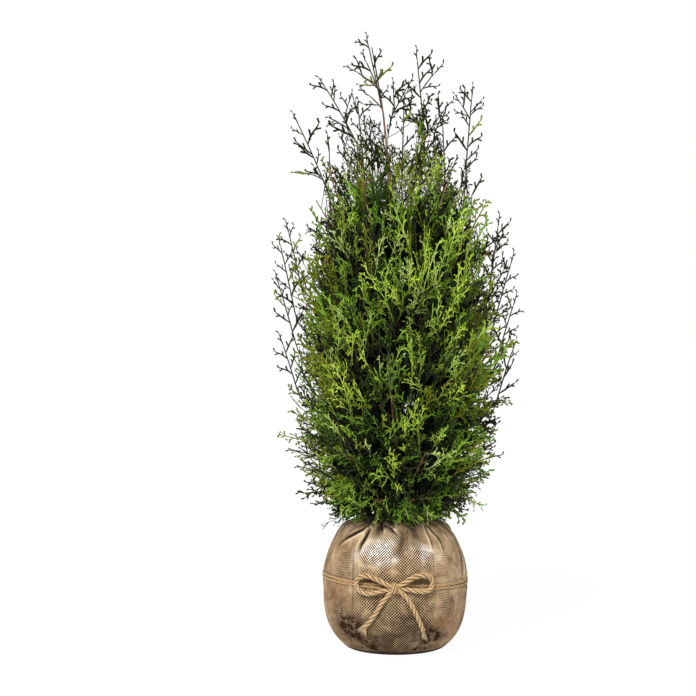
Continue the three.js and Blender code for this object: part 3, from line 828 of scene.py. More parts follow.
def sprayTree():  # places the spray shapes on points and makes them one mesh
    tree = bpy.data.node_groups.new("placeSprays", "GeometryNodeTree")
    for name, kind in (("Points", "NodeSocketGeometry"), ("Shapes", "NodeSocketCollection"),
                       ("Finish", "NodeSocketMaterial")):
        tree.interface.new_socket(name, in_out="INPUT", socket_type=kind)
    tree.interface.new_socket("Mesh", in_out="OUTPUT", socket_type="NodeSocketGeometry")
    given = addNode(tree, "NodeGroupInput")
    shapes = addNode(tree, "GeometryNodeCollectionInfo", {"Collection": given.outputs["Shapes"],
                                                         "Separate Children": True, "Reset Children": True})
    turn = addNode(tree, "GeometryNodeInputNamedAttribute", {"Name": "turn"}, data_type="FLOAT_VECTOR")
    spin = addNode(tree, "FunctionNodeEulerToRotation", {0: turn.outputs["Attribute"]})
    size = addNode(tree, "GeometryNodeInputNamedAttribute", {"Name": "size"}, data_type="FLOAT")
    number = addNode(tree, "GeometryNodeInputNamedAttribute", {"Name": "number"}, data_type="INT")
    placed = addNode(tree, "GeometryNodeInstanceOnPoints", {
        "Points": given.outputs["Points"], "Instance": shapes.outputs[0], "Pick Instance": True,
        "Instance Index": number.outputs["Attribute"], "Rotation": spin.outputs[0], "Scale": size.outputs["Attribute"]})
    real = addNode(tree, "GeometryNodeRealizeInstances", {0: placed.outputs[0]})
    finished = addNode(tree, "GeometryNodeSetMaterial", {"Geometry": real.outputs[0], "Material": given.outputs["Finish"]})
    addNode(tree, "NodeGroupOutput", {0: finished.outputs[0]})
    return tree


def setInput(modifier, name, value):  # by the socket's identifier
    sockets = modifier.node_group.interface.items_tree
    key = next(s.identifier for s in sockets if s.name == name and s.in_out == "INPUT")
    modifier[key] = value


def bakeNodes(carrier, name, tree, **inputs):  # the tree's result on the carrier as a plain mesh object
    modifier = carrier.modifiers.new("grow", "NODES")
    modifier.node_group = tree
    for key, value in inputs.items():
        setInput(modifier, key.replace("_", " "), value)
    shown = carrier.evaluated_get(bpy.context.evaluated_depsgraph_get())
    mesh = bpy.data.meshes.new_from_object(shown)
    mesh.name = name
    carrier.modifiers.remove(modifier)
    bpy.data.objects.remove(carrier)
    piece = bpy.data.objects.new(name, mesh)
    bpy.context.collection.objects.link(piece)
    return piece


def pointCarrier(rows):
    mesh = bpy.data.meshes.new("carrier")
    mesh.from_pydata([tuple(place) for place, turn, size, number in rows], [], [])
    mesh.attributes.new("turn", "FLOAT_VECTOR", "POINT").data.foreach_set("vector", [a for r in rows for a in r[1]])
    mesh.attributes.new("size", "FLOAT", "POINT").data.foreach_set("value", [r[2] for r in rows])
    mesh.attributes.new("number", "INT", "POINT").data.foreach_set("value", [r[3] for r in rows])
    carrier = bpy.data.objects.new("carrier", mesh)
    bpy.context.collection.objects.link(carrier)
    return carrier


def inPieces(rows, most):  # cuts a colour's sprays into pieces that are small enough, going round the trunk
    rows = sorted(rows, key=lambda row: math.atan2(row[0].y, row[0].x))
    total = sum(spraySizes[row[3]] for row in rows)
    count = math.ceil(total / most)
    pieces, gone = [[] for i in range(count)], 0
    for row in rows:
        pieces[min(int(gone * count / total), count - 1)].append(row)
        gone += spraySizes[row[3]]
    return pieces


def addFoliage():
    tree = sprayTree()
    for name, hexColour in colourClasses.items():
        material = leafMaterial(name + "ScaleLeaf", hexColour)
        for i, rows in enumerate(inPieces(placements[name], 190000)):
            piece = bakeNodes(pointCarrier(rows), f"{name}Sprays{i + 1}", tree, Shapes=sprayStore, Finish=material)
            joinFrame(piece, massNames)
            print(piece.name, len(piece.data.polygons), "triangles")


addFoliage()

# ---- hessian wrap ----

hessian = {
    "radius": 140, "widest": 115, "lower": 137, "upper": 158, "exponent": 2.4,  # the ball's outline
    "shoulder": 240,  # height where the neck begins
    "neck": ((93, 243), (86, 246), (77, 249), (69, 251.5), (62, 253.5), (57, 255.8), (55, 257), (53.5, 256.6),
             (53, 254), (55, 249), (60, 243), (66, 238)),  # over the rim and down inside
    "foot": ((2, 0), (40, 0), (70, 0), (84, 0.8), (91, 2.4)),
    "columns": 420, "rows": 104,
    "weave": 3.95,  # thread spacing, drawn about twice as coarse as real hessian so that it shows
    "ribs": 4.6,
    "dull": "#6E563C", "clean": "#BDA685", "thread": "#D2B48A", "grain": "#80664A", "fleck": "#6A4A2C", "hole": "#140A05",
    # bleach: dry, bleached fibres, also a painted highlight
    "bleachHighlight": "#F2ECE2",
    # stain also paints the twine's shadow; shadow paints shade in folds and at the foot; crest paints a highlight on
    # fold lips
    "stainAndShadow": "#211004", "rust": "#7E4F33", "shadow": "#150C06", "crest": "#DCC6A2",
}
twine = {
    "height": 138, "tilt": -5.5,  # the band's height in front, and how much its right end drops
    "groove": 3.0, "thick": 5.3, "apart": 3.0, "bowThick": 8.8, "lay": 25, "plies": 3, "bowRadius": 147,
    "colour": "#C09A66", "paler": "#E8CC9A",
}


facing = Matrix.Rotation(math.radians(-1.8), 4, "Z")  # the wrap and its bow face a little to the left


def bandHeight(angle):  # angle from the front, positive to the right
    return twine["height"] + twine["tilt"] * math.sin(angle)


def ballOutline(z):
    half = hessian["lower"] if z < hessian["widest"] else hessian["upper"]
    rise = (abs(z - hessian["widest"]) / half) ** hessian["exponent"]
    return hessian["radius"] * (1 - rise) ** (1 / hessian["exponent"])


def wrapProfile():
    rows = list(hessian["foot"])
    low = hessian["foot"][-1][1]
    for i in range(1, hessian["rows"]):
        z = mix(low, hessian["shoulder"], i / (hessian["rows"] - 1))
        rows.append((ballOutline(z), z))
    neck = np.array(hessian["neck"], float)
    for i in range(len(neck) - 1):
        rows += [tuple(mix(neck[i], neck[i + 1], k / 3)) for k in range(3)]
    return np.array(rows + [tuple(neck[-1])])


# Creases in front: points (x, z) in mm, depth, width, and a raised lip beside it (negative: on its left).
creases = [
    (((-50, 245), (-61, 237), (-76, 229), (-94, 218), (-106, 207)), 8.5, 3.4, 3.8),
    (((-49, 238), (-56, 224), (-65, 210), (-70, 196)), 7.0, 3.2, -3.2),
    (((-34, 258), (-29, 247), (-26, 238), (-27, 230)), 12.0, 3.8, 3.2),
    (((-28, 246), (-33, 236), (-40, 222)), 6.5, 9.0, 0),
    (((-49, 257), (-49, 246), (-47, 236)), 6.0, 2.0, 1.6),
    (((-42, 257), (-42, 246), (-40, 238)), 5.0, 1.8, 1.5),
    (((-24, 250), (-14, 243), (-5, 237), (8, 227)), 8.0, 2.6, 3.8),
    (((-20, 258), (-8, 252), (2, 250), (8, 257)), 5.0, 2.6, -2.5),
    (((21, 254), (29, 244), (38, 233), (51, 215)), 10.5, 7.6, 0),
    (((30, 254), (36, 246), (42, 238)), 6.0, 2.6, -2.0),
    (((46, 252), (57, 238), (67, 219), (73, 204)), 5.0, 2.3, -6.0),
    (((58, 245), (69, 235), (79, 225), (88, 212), (94, 196)), 6.5, 2.4, -2.6),
    (((-52, 250), (-66, 243), (-82, 234), (-101, 218)), 3.2, 1.9, 1.4),
    (((66, 248), (80, 241), (96, 228), (106, 214)), 3.0, 2.0, 1.4),
    (((12, 240), (15, 222), (9, 206), (4, 190)), 2.6, 6.0, 0),
    (((-77, 208), (-79, 170), (-79, 120), (-80, 86)), 1.9, 1.7, -1.3),
    (((72, 200), (74, 176), (73, 150)), 1.6, 1.6, 1.0),
    (((118, 216), (125, 190), (128, 160), (128, 142)), 3.4, 4.0, 1.6),
    (((107, 112), (114, 98), (112, 84)), 2.0, 2.4, 1.2),
    (((-112, 212), (-122, 190), (-126, 170)), 2.2, 3.4, 1.0),
]


def backCreases():  # the same kind of folds all round
    rnd = random.Random(5)
    found = []
    for i in range(17):
        angle = math.radians(mix(72, 288, (i + 0.5) / 17) + rnd.uniform(-5, 5))
        drift = rnd.uniform(-0.22, 0.22)
        low = rnd.uniform(190, 226)
        points = [(angle + drift * t * t, mix(264, low, t)) for t in (0, 0.35, 0.7, 1)]
        found.append((points, rnd.uniform(3.5, 7), rnd.uniform(2.6, 4.5), rnd.choice((-2.4, 2.4))))
    return found


def makeWrap():
    profile = wrapProfile()
    rows, columns = len(profile), hessian["columns"]
    arc = np.concatenate([[0], np.cumsum(np.hypot(*np.diff(profile, axis=0).T))])
    angles = np.linspace(-math.pi, math.pi, columns, endpoint=False)
    radius, height = profile[:, 0][:, None], profile[:, 1][:, None]
    along = arc[:, None]
    outer = int(np.argmax(profile[:, 1]))  # the rim's row
    offset = np.zeros((rows, columns))
    dark, pale = np.zeros((rows, columns)), np.zeros((rows, columns))

    def arcAt(z):
        return np.interp(z, profile[:outer + 1, 1], arc[:outer + 1])

    def addCrease(points, depth, width, lip):  # points: angle and height
        best, side, share = np.full((rows, columns), 1e9), np.zeros((rows, columns)), np.zeros((rows, columns))
        spots = [(a, arcAt(z)) for a, z in points]
        for i in range(len(spots) - 1):
            (a0, v0), (a1, v1) = spots[i], spots[i + 1]
            spread = np.maximum(radius, 20)
            px, py = (angles[None, :] - a0 + math.pi) % (2 * math.pi) - math.pi, along - v0
            px = px * spread
            sx, sy = ((a1 - a0 + math.pi) % (2 * math.pi) - math.pi) * spread, v1 - v0
            t = np.clip((px * sx + py * sy) / (sx * sx + sy * sy), 0, 1)
            dx, dy = px - t * sx, py - t * sy
            far = np.hypot(dx, dy)
            near = far < best
            best = np.where(near, far, best)
            side = np.where(near, np.sign(sx * dy - sy * dx), side)
            share = np.where(near, (i + t) / (len(spots) - 1), share)
        ends = np.sin(math.pi * np.clip(share * 0.86 + 0.14, 0, 1)) ** 0.6
        ends = np.where((share <= 0) | (share >= 1), ends * np.exp(-(best / width) ** 2), ends)
        valley = np.exp(-(best / width) ** 2) * ends
        # a raised lip beside the crease, with a painted highlight along it
        if lip:
            crest = np.exp(-((best - 1.7 * width) / (1.1 * width)) ** 2) * ends * (side == np.sign(lip))
            offset[:] += abs(lip) * crest
            pale[:] = np.maximum(pale, crest * min(abs(lip) / 4, 1))
        offset[:] -= depth * valley
        # painted shade in the crease, weaker for broad folds
        shade = np.exp(-(best / (1.25 * width)) ** 2) * ends
        dark[:] = np.maximum(dark, shade * min(depth / 5, 1) * (1.0 if width < 7 else 0.68))

    front = []
    for points, depth, width, lip in creases:
        turned = []
        for x, z in points:
            r = float(np.interp(z, profile[:outer + 1, 1], profile[:outer + 1, 0]))
            turned.append((math.asin(max(min(x / r, 0.98), -0.98)), z))
        front.append((turned, depth, width, lip))
    for points, depth, width, lip in front + backCreases():
        addCrease(points, depth, width, lip)

    gather = np.clip((along - arcAt(218)) / (arcAt(259) - arcAt(218)), 0, 1) ** 1.6
    ripple = (np.sin(19 * angles + 1.2 * np.sin(3 * angles)) + 0.8 * np.sin(31 * angles + 2 + np.sin(5 * angles))
              + 0.5 * np.sin(52 * angles + 2 * np.sin(4 * angles)))
    offset += 3.2 * gather * ripple[None, :]
    # painted shade in the troughs of the gathers at the neck
    dark = np.maximum(dark, gather * np.clip(0.1 - 1.1 * ripple, 0, 1)[None, :])
    # painted highlight on the ridges of the gathers
    pale = np.maximum(pale, 0.8 * gather * np.clip(ripple - 0.5, 0, 1)[None, :])
    lift = np.zeros((rows, columns))
    rim = np.clip((height - 251) / 9, 0, 1)
    lift += rim * (2.2 * np.sin(7 * angles + 2.2) + 2.4 * np.sin(12 * angles + np.sin(4 * angles)))[None, :]
    bulge = np.array([[noise.noise(Vector((2.2 * math.sin(t), 2.2 * math.cos(t), z / 62))) for t in angles[::4]]
                      for z in profile[::3, 1]])
    soft = np.array([np.interp(np.arange(columns), np.arange(0, columns, 4), row, period=columns) for row in bulge])
    soft = np.array([np.interp(np.arange(rows), np.arange(0, rows, 3), col) for col in soft.T]).T
    body = np.clip(height / 25, 0, 1)
    offset += 2.2 * soft * body
    band = twine["height"] + twine["tilt"] * np.sin(angles)[None, :]
    tied = (height - band) / 5.2
    offset += (-twine["groove"] * np.exp(-tied ** 2) + 0.8 * np.exp(-((np.abs(tied) - 2.4) / 1.1) ** 2)) * (height < 200)
    offset = np.minimum(offset, 5.5) * np.clip(radius / 60, 0, 1)
    inner = np.arange(rows)[:, None] > outer
    offset = np.where(inner, offset[outer][None, :] * 0.9, offset)

    x = (radius + offset) * np.sin(angles)[None, :]
    y = -(radius + offset) * np.cos(angles)[None, :]
    z = np.broadcast_to(height, x.shape) + lift - np.where(height > 200, 0.25 * np.minimum(offset, 0), 0)
    verts = [(px * mm, py * mm, max(pz, 0) * mm) for px, py, pz in zip(x.ravel(), y.ravel(), z.ravel())]
    faces = []
    for i in range(rows - 1):
        for j in range(columns):
            k = (j + 1) % columns
            faces.append((i * columns + j, i * columns + k, (i + 1) * columns + k, (i + 1) * columns + j))
    foot, inside = len(verts), len(verts) + 1
    verts += [(0, 0, 0), (0, 0, hessian["neck"][-1][1] * mm)]
    for j in range(columns):
        k = (j + 1) % columns
        faces.append((foot, k, j))
        faces.append((inside, (rows - 1) * columns + j, (rows - 1) * columns + k))
    return verts, faces, angles, profile, arc, dark, pale, rows, columns


# soil stains, darker towards the bottom; the belt at the bow's height, the spots inside its loops and the strips beside
# its tails are painted shadow of the twine
stainAndShadowSpots = [  # x, z, width and height in mm, for the front; the last is how strong
    (-84, 58, 22, 18, 1.7), (36, 62, 20, 20, 2.0), (-8, 30, 27, 16, 2.4), (0, 90, 62, 44, 0.36), (0, 147, 82, 17, 0.3),
    (-44, 149, 20, 7, 0.6), (44, 149, 20, 7, 0.6), (-36, 98, 7, 26, 0.4), (40, 100, 7, 26, 0.3), (-60, 34, 36, 14, 0.7),
    (78, 38, 28, 15, 0.65), (10, 14, 100, 9, 0.9), (-50, 118, 16, 10, 0.45), (60, 96, 18, 24, 0.15),
    (-20, 70, 60, 30, 0.3), (-100, 84, 14, 30, 0.35), (56, 46, 22, 17, 1.4), (-96, 168, 14, 20, 0.35),
]
# pale patches on the upper front: partly dry, bleached fibres, partly a painted highlight
bleachAndHighlightSpots = [(-26, 208, 21, 13, 1.0), (-51, 194, 15, 14, 0.92), (-76, 190, 4, 12, 0.4), (-18, 188, 21, 12, 0.9),
               (60, 194, 15, 12, 1.1), (38, 207, 16, 10, 0.5), (-4, 222, 12, 10, 0.35)]
rustSpots = [(-108, 135, 22, 40, 0.45), (102, 60, 28, 26, 0.5), (-70, 44, 34, 18, 0.8), (84, 160, 18, 12, 0.45),
             (0, 168, 40, 12, 0.35), (14, 205, 10, 22, 0.45), (40, 110, 30, 22, 0.25), (-106, 196, 16, 14, 0.3)]


def spotField(spots, xs, zs, frontal, mirrored):  # blurred spots, and the same ones fainter behind
    field = np.zeros_like(xs)
    for x, z, wide, tall, strength in spots:
        front = np.exp(-((xs - x) / wide) ** 2 - ((zs - z) / tall) ** 2)
        behind = np.exp(-((xs + x * 0.8) / wide) ** 2 - ((zs - z - 6) / tall) ** 2)
        field += strength * (front * frontal + 0.7 * behind * mirrored)
    return np.clip(field, 0, 1)


def hessianMaterial():  # loose plain-woven jute: coarse open threads, soil stains with painted shadow beside the twine, bleached patches with a painted highlight, and worn patches
    material, tree, shader = newMaterial("wovenHessian", Roughness=0.95, Specular_IOR_Level=0.06)
    uv = addNode(tree, "ShaderNodeTexCoord").outputs["UV"]
    place = addNode(tree, "ShaderNodeTexCoord").outputs["Object"]

    def field(name):
        return addNode(tree, "ShaderNodeAttribute", attribute_name=name).outputs["Fac"]

    def maths(operation, a, b=0.0, c=0.0, clamp=False):
        return addNode(tree, "ShaderNodeMath", {0: a, 1: b, 2: c}, operation=operation, use_clamp=clamp).outputs[0]

    def blend(share, a, b):
        node = addNode(tree, "ShaderNodeMix", {"Factor": share}, data_type="RGBA")
        for key, value in (("A", a), ("B", b)):
            if isinstance(value, bpy.types.NodeSocket):
                tree.links.new(value, node.inputs[key])
            else:
                node.inputs[key].default_value = value
        return node.outputs["Result"]

    def threads(turn, spacing):  # two sets of threads at right angles
        moved = addNode(tree, "ShaderNodeMapping", {"Vector": uv, "Rotation": (0, 0, math.radians(turn))}).outputs[0]
        sets = []
        for direction in ("X", "Y"):
            wave = addNode(tree, "ShaderNodeTexWave", {
                "Vector": moved, "Scale": math.pi / 10 / (spacing * mm), "Distortion": 1.1, "Detail": 1.0,
                "Detail Scale": 0.25}, wave_type="BANDS", bands_direction=direction, wave_profile="SIN")
            sets.append(wave.outputs["Fac"])
        return sets

    bias = field("bias")
    warpA, weftA = threads(45, hessian["weave"])
    warpB, weftB = threads(0, hessian["ribs"])
    lay = addNode(tree, "ShaderNodeTexNoise", {"Vector": place, "Scale": 1000 / 38, "Detail": 1.0}).outputs["Fac"]
    lay = maths("MULTIPLY_ADD", lay, 4.0, -1.5, clamp=True)  # here the warp shows more, there the weft
    threadsA = maths("ADD", maths("MULTIPLY", warpA, maths("MULTIPLY_ADD", lay, 1.1, 0.45)),
                     maths("MULTIPLY", weftA, maths("MULTIPLY_ADD", lay, -1.1, 1.55)))
    openA = maths("MULTIPLY_ADD", threadsA, -3.0, 3.75, clamp=True)
    openB = maths("MULTIPLY", maths("SUBTRACT", 1.0, weftB), maths("MULTIPLY_ADD", warpB, -0.3, 1.0))
    fineNoise = addNode(tree, "ShaderNodeTexNoise", {"Vector": place, "Scale": 1000 / 26, "Detail": 4.0}).outputs["Fac"]
    worn = maths("MULTIPLY", maths("MULTIPLY_ADD", fineNoise, 5.0, -2.0, clamp=True), field("ribbed"))
    loose = addNode(tree, "ShaderNodeTexNoise", {"Vector": place, "Scale": 1000 / 17, "Detail": 3.0}).outputs["Fac"]
    marked = maths("MULTIPLY_ADD", field("stainAndShadow"), 0.6, maths("MULTIPLY_ADD", field("bleachAndHighlight"), 0.5, -0.45))
    looseness = maths("MULTIPLY_ADD", loose, 2.6, marked, clamp=True)
    holesA = maths("MULTIPLY", openA, looseness)
    holesB = maths("MULTIPLY", maths("POWER", openB, 1.6), maths("MULTIPLY", worn, 0.95))
    holes = maths("ADD", maths("MULTIPLY", holesA, bias), maths("MULTIPLY", holesB, maths("SUBTRACT", 1.0, bias)))

    mottle = addNode(tree, "ShaderNodeTexNoise", {"Vector": place, "Scale": 1000 / 45, "Detail": 5.0,
                                                  "Roughness": 0.6}).outputs["Fac"]
    cloth = blend(maths("MULTIPLY_ADD", mottle, 3.8, -1.3, clamp=True), toLinear(hessian["dull"]), toLinear(hessian["clean"]))
    grain = addNode(tree, "ShaderNodeTexNoise", {"Vector": place, "Scale": 1000 / 3.0, "Detail": 2.0}).outputs["Fac"]
    cloth = blend(maths("MULTIPLY", grain, 0.35), cloth, toLinear(hessian["grain"]))
    flecks = addNode(tree, "ShaderNodeTexNoise", {"Vector": place, "Scale": 1000 / 7, "Detail": 5.0,
                                                  "Roughness": 0.75}).outputs["Fac"]
    flecked = maths("MULTIPLY", maths("MULTIPLY_ADD", flecks, 7.0, -3.5, clamp=True), 0.42)
    cloth = blend(flecked, cloth, toLinear(hessian["fleck"]))
    cloth = blend(maths("MULTIPLY", bias, 0.6), cloth, toLinear(hessian["thread"]))
    ragged = addNode(tree, "ShaderNodeTexNoise", {"Vector": place, "Scale": 1000 / 14, "Detail": 6.0,
                                                  "Roughness": 0.7}).outputs["Fac"]
    proudA = maths("MULTIPLY", maths("MULTIPLY_ADD", threadsA, 0.9, -0.75, clamp=True), bias)
    # rust; stains, which also paint the twine's shadow; bleached patches, which also paint a highlight
    for name, colour, most, hard, mean in (("rust", "rust", 0.8, 3.0, 0.75), ("stainAndShadow", "stainAndShadow", 0.98, 2.6, 0.96),
                                           ("bleachAndHighlight", "bleachHighlight", 0.95, 5.4, 0.7)):
        edge = maths("MULTIPLY_ADD", ragged, hard, mean - 0.5 * hard)
        amount = maths("MULTIPLY", maths("MULTIPLY", field(name), edge, clamp=True), most)
        if name == "stainAndShadow":  # the proud threads stay lighter
            amount = maths("MULTIPLY", amount, maths("MULTIPLY_ADD", proudA, -0.45, 1.0))
        cloth = blend(amount, cloth, toLinear(hessian[colour]))
    # painted highlight on the crease lips and gather ridges
    cloth = blend(maths("MULTIPLY", field("crest"), 0.8), cloth, toLinear(hessian["crest"]))
    cloth = blend(holes, cloth, toLinear(hessian["hole"]))
    # painted shade in the folds and a painted contact shadow along the foot
    cloth = blend(maths("MULTIPLY", field("foldAndFootShadow"), 0.97), cloth, toLinear(hessian["shadow"]))
    tree.links.new(cloth, shader.inputs["Base Color"])
    bump = addNode(tree, "ShaderNodeBump", {"Height": maths("SUBTRACT", 1.0, holes), "Strength": 0.7, "Distance": 0.0012})
    rough = addNode(tree, "ShaderNodeBump", {"Height": ragged, "Strength": 0.35, "Distance": 0.002,
                                             "Normal": bump.outputs["Normal"]})
    tree.links.new(rough.outputs["Normal"], shader.inputs["Normal"])
    return material


def addWrap():
    verts, faces, angles, profile, arc, dark, pale, rows, columns = makeWrap()
    piece = addPiece("hessianWrap", verts, faces, hessianMaterial(), ["root_ball", "wrap_collar"])
    mesh = piece.data
    grid = np.array(verts)[:rows * columns] / mm
    xs, ys, zs = grid.T
    frontal, mirrored = (ys < 0).astype(float), (ys >= 0).astype(float)
    turn = np.broadcast_to(angles[None, :], (rows, columns)).ravel()
    quarter = np.minimum(np.abs(turn), np.abs(np.abs(turn) - math.pi))
    edge = 0.575 - 0.33 * np.clip((90 - zs) / 85, 0, 1) ** 1.4
    panel = 1 / (1 + np.exp((quarter - edge) / 0.02))  # the bias-cut breadths, in front and behind
    upper = 1 / (1 + np.exp((zs - 233 + 36 * ((np.abs(xs) - 2) / 66) ** 2) / 3))  # an arch under the gathers
    fields = {
        # crest: painted highlight on fold lips and gathers
        "bias": panel * upper, "crest": pale.ravel(),
        # painted shade in the creases, and a painted contact shadow on the lowest 12 mm
        "foldAndFootShadow": np.maximum(np.clip(1.35 * dark.ravel(), 0, 1), np.clip(2 - zs / 6, 0, 1)),
        "ribbed": np.exp(-((np.abs(np.sin(turn)) - 0.68) / 0.19) ** 2) * np.clip((zs - 62) / 14, 0, 1)
        * np.clip((204 - zs) / 10, 0, 1),
        # soil stains and painted shadow of the twine, darker towards the bottom
        "stainAndShadow": np.maximum(spotField(stainAndShadowSpots, xs, zs, frontal, mirrored), np.clip(0.3 - zs / 300, 0, 1)),
        # bleached fibres and a painted highlight
        "bleachAndHighlight": spotField(bleachAndHighlightSpots, xs, zs, frontal, mirrored),
        "rust": spotField(rustSpots, xs, zs, frontal, mirrored),
    }
    for name, values in fields.items():
        layer = mesh.attributes.new(name, "FLOAT", "POINT")
        layer.data.foreach_set("value", np.concatenate([values, [1.0, 0.0]]).astype(np.float32))
    layer = mesh.uv_layers.new(name="clothWay")
    loopVerts = np.zeros(len(mesh.loops), int)
    mesh.loops.foreach_get("vertex_index", loopVerts)
    row, column = loopVerts // columns, loopVerts % columns
    pole = loopVerts >= rows * columns
    turned = angles[np.where(pole, 0, column)]
    first = np.array([p.loop_start for p in mesh.polygons]).repeat([p.loop_total for p in mesh.polygons])
    turned = np.where(turned < angles[np.where(pole[first], 0, column[first])] - math.pi, turned + 2 * math.pi, turned)
    girth = 0.138 * turned
    way = arc[np.where(pole, 0, np.minimum(row, rows - 1))] * mm
    layer.data.foreach_set("uv", np.stack([girth, way], 1).ravel().astype(np.float32))
    mesh.transform(facing)
    print("hessian wrap:", len(faces), "faces")


addWrap()


def addSoil():  # dark crumbly soil inside the neck
    rnd = random.Random(3)
    verts, faces, rings, sides = [(0, 0, 247 * mm)], [], 14, 48
    for i in range(1, rings + 1):
        for j in range(sides):
            a = 2 * math.pi * j / sides
            r = 66 * i / rings
            z = 246 - 9 * (i / rings) ** 2 + 2.5 * noise.noise(Vector((r * math.cos(a) / 6, r * math.sin(a) / 6, 1)))
            verts.append((r * math.cos(a) * mm, r * math.sin(a) * mm, (z + rnd.uniform(-0.8, 0.8)) * mm))
    for j in range(sides):
        faces.append((0, 1 + j, 1 + (j + 1) % sides))
    for i in range(rings - 1):
        for j in range(sides):
            a, k = 1 + i * sides, (j + 1) % sides
            faces.append((a + j, a + sides + j, a + sides + k, a + k))
    material, tree, shader = newMaterial("dampSoil", Roughness=0.95)  # dark crumbs, nearly black when damp
    place = addNode(tree, "ShaderNodeTexCoord").outputs["Object"]
    crumbs = addNode(tree, "ShaderNodeTexNoise", {"Vector": place, "Scale": 1000 / 5, "Detail": 6.0})
    colour = addNode(tree, "ShaderNodeMix", {"Factor": crumbs.outputs["Fac"], "A": toLinear("#120B07"),
                                             "B": toLinear("#3B2A1D")}, data_type="RGBA")
    tree.links.new(colour.outputs["Result"], shader.inputs["Base Color"])
    bump = addNode(tree, "ShaderNodeBump", {"Height": crumbs.outputs["Fac"], "Strength": 0.8, "Distance": 0.002})
    tree.links.new(bump.outputs["Normal"], shader.inputs["Normal"])
    addPiece("soil", verts, faces, material, ["root_ball"], smooth=False)


addSoil()

# ---- twine and its bow ----


def plyTree():  # twists plies along a path and gives them a fibre direction
    tree = bpy.data.node_groups.new("twistPlies", "GeometryNodeTree")
    for name, kind, value in (("Path", "NodeSocketGeometry", None), ("Plies", "NodeSocketInt", 3),
                              ("Thickness", "NodeSocketFloat", 0.005), ("Lay", "NodeSocketFloat", 0.0125),
                              ("Finish", "NodeSocketMaterial", None)):
        socket = tree.interface.new_socket(name, in_out="INPUT", socket_type=kind)
        if value is not None:
            socket.default_value = value
    tree.interface.new_socket("Mesh", in_out="OUTPUT", socket_type="NodeSocketGeometry")
    given = addNode(tree, "NodeGroupInput").outputs

    def maths(operation, a, b=0.0, c=0.0):
        return addNode(tree, "ShaderNodeMath", {0: a, 1: b, 2: c}, operation=operation).outputs[0]

    def vector(operation, a, b=None, scale=None):
        inputs = {0: a}
        if b is not None:
            inputs[1] = b
        if scale is not None:
            inputs["Scale"] = scale
        return addNode(tree, "ShaderNodeVectorMath", inputs, operation=operation).outputs[0]

    path = addNode(tree, "GeometryNodeMeshToCurve", {0: given["Path"]})
    even = addNode(tree, "GeometryNodeResampleCurve", {"Curve": path.outputs[0], "Length": 0.0011}, mode="LENGTH")
    copies = addNode(tree, "GeometryNodeDuplicateElements", {"Geometry": even.outputs[0], "Amount": given["Plies"]},
                     domain="SPLINE")
    along = addNode(tree, "GeometryNodeSplineParameter").outputs["Length"]
    share = maths("DIVIDE", copies.outputs["Duplicate Index"], given["Plies"])
    turn = maths("MULTIPLY", maths("ADD", maths("DIVIDE", along, given["Lay"]), share), 2 * math.pi)
    normal = addNode(tree, "GeometryNodeInputNormal").outputs[0]
    tangent = addNode(tree, "GeometryNodeInputTangent").outputs[0]
    cross = vector("CROSS_PRODUCT", tangent, normal)
    girth = addNode(tree, "GeometryNodeInputNamedAttribute", {"Name": "girth"}, data_type="FLOAT").outputs["Attribute"]
    reach = maths("MULTIPLY", maths("MULTIPLY", given["Thickness"], 0.25), girth)
    away = vector("ADD", vector("SCALE", normal, scale=maths("COSINE", turn)),
                  vector("SCALE", cross, scale=maths("SINE", turn)))
    leaning = addNode(tree, "GeometryNodeStoreNamedAttribute", {"Geometry": copies.outputs[0], "Name": "lean",
                                                               "Value": away}, data_type="FLOAT_VECTOR")
    lean = addNode(tree, "GeometryNodeInputNamedAttribute", {"Name": "lean"}, data_type="FLOAT_VECTOR").outputs[0]
    moved = addNode(tree, "GeometryNodeSetPosition", {
        "Geometry": leaning.outputs[0], "Offset": vector("SCALE", lean, scale=reach)})
    sized = addNode(tree, "GeometryNodeSetCurveRadius", {"Curve": moved.outputs[0], "Radius": girth})
    ring = addNode(tree, "GeometryNodeCurvePrimitiveCircle", {
        "Resolution": 10, "Radius": maths("MULTIPLY", given["Thickness"], 0.265)})
    tube = addNode(tree, "GeometryNodeCurveToMesh", {"Curve": sized.outputs[0], "Profile Curve": ring.outputs[0],
                                                    "Fill Caps": True})
    # how far each point faces away from the rope's middle; the twine's material paints shade in the grooves by it
    facing = addNode(tree, "ShaderNodeVectorMath", {0: normal, 1: lean}, operation="DOT_PRODUCT").outputs["Value"]
    grooved = addNode(tree, "GeometryNodeStoreNamedAttribute", {"Geometry": tube.outputs[0], "Name": "proud",
                                                               "Value": facing}, data_type="FLOAT")
    real = addNode(tree, "GeometryNodeRealizeInstances", {0: grooved.outputs[0]})
    finished = addNode(tree, "GeometryNodeSetMaterial", {"Geometry": real.outputs[0], "Material": given["Finish"]})
    addNode(tree, "NodeGroupOutput", {0: finished.outputs[0]})
    return tree


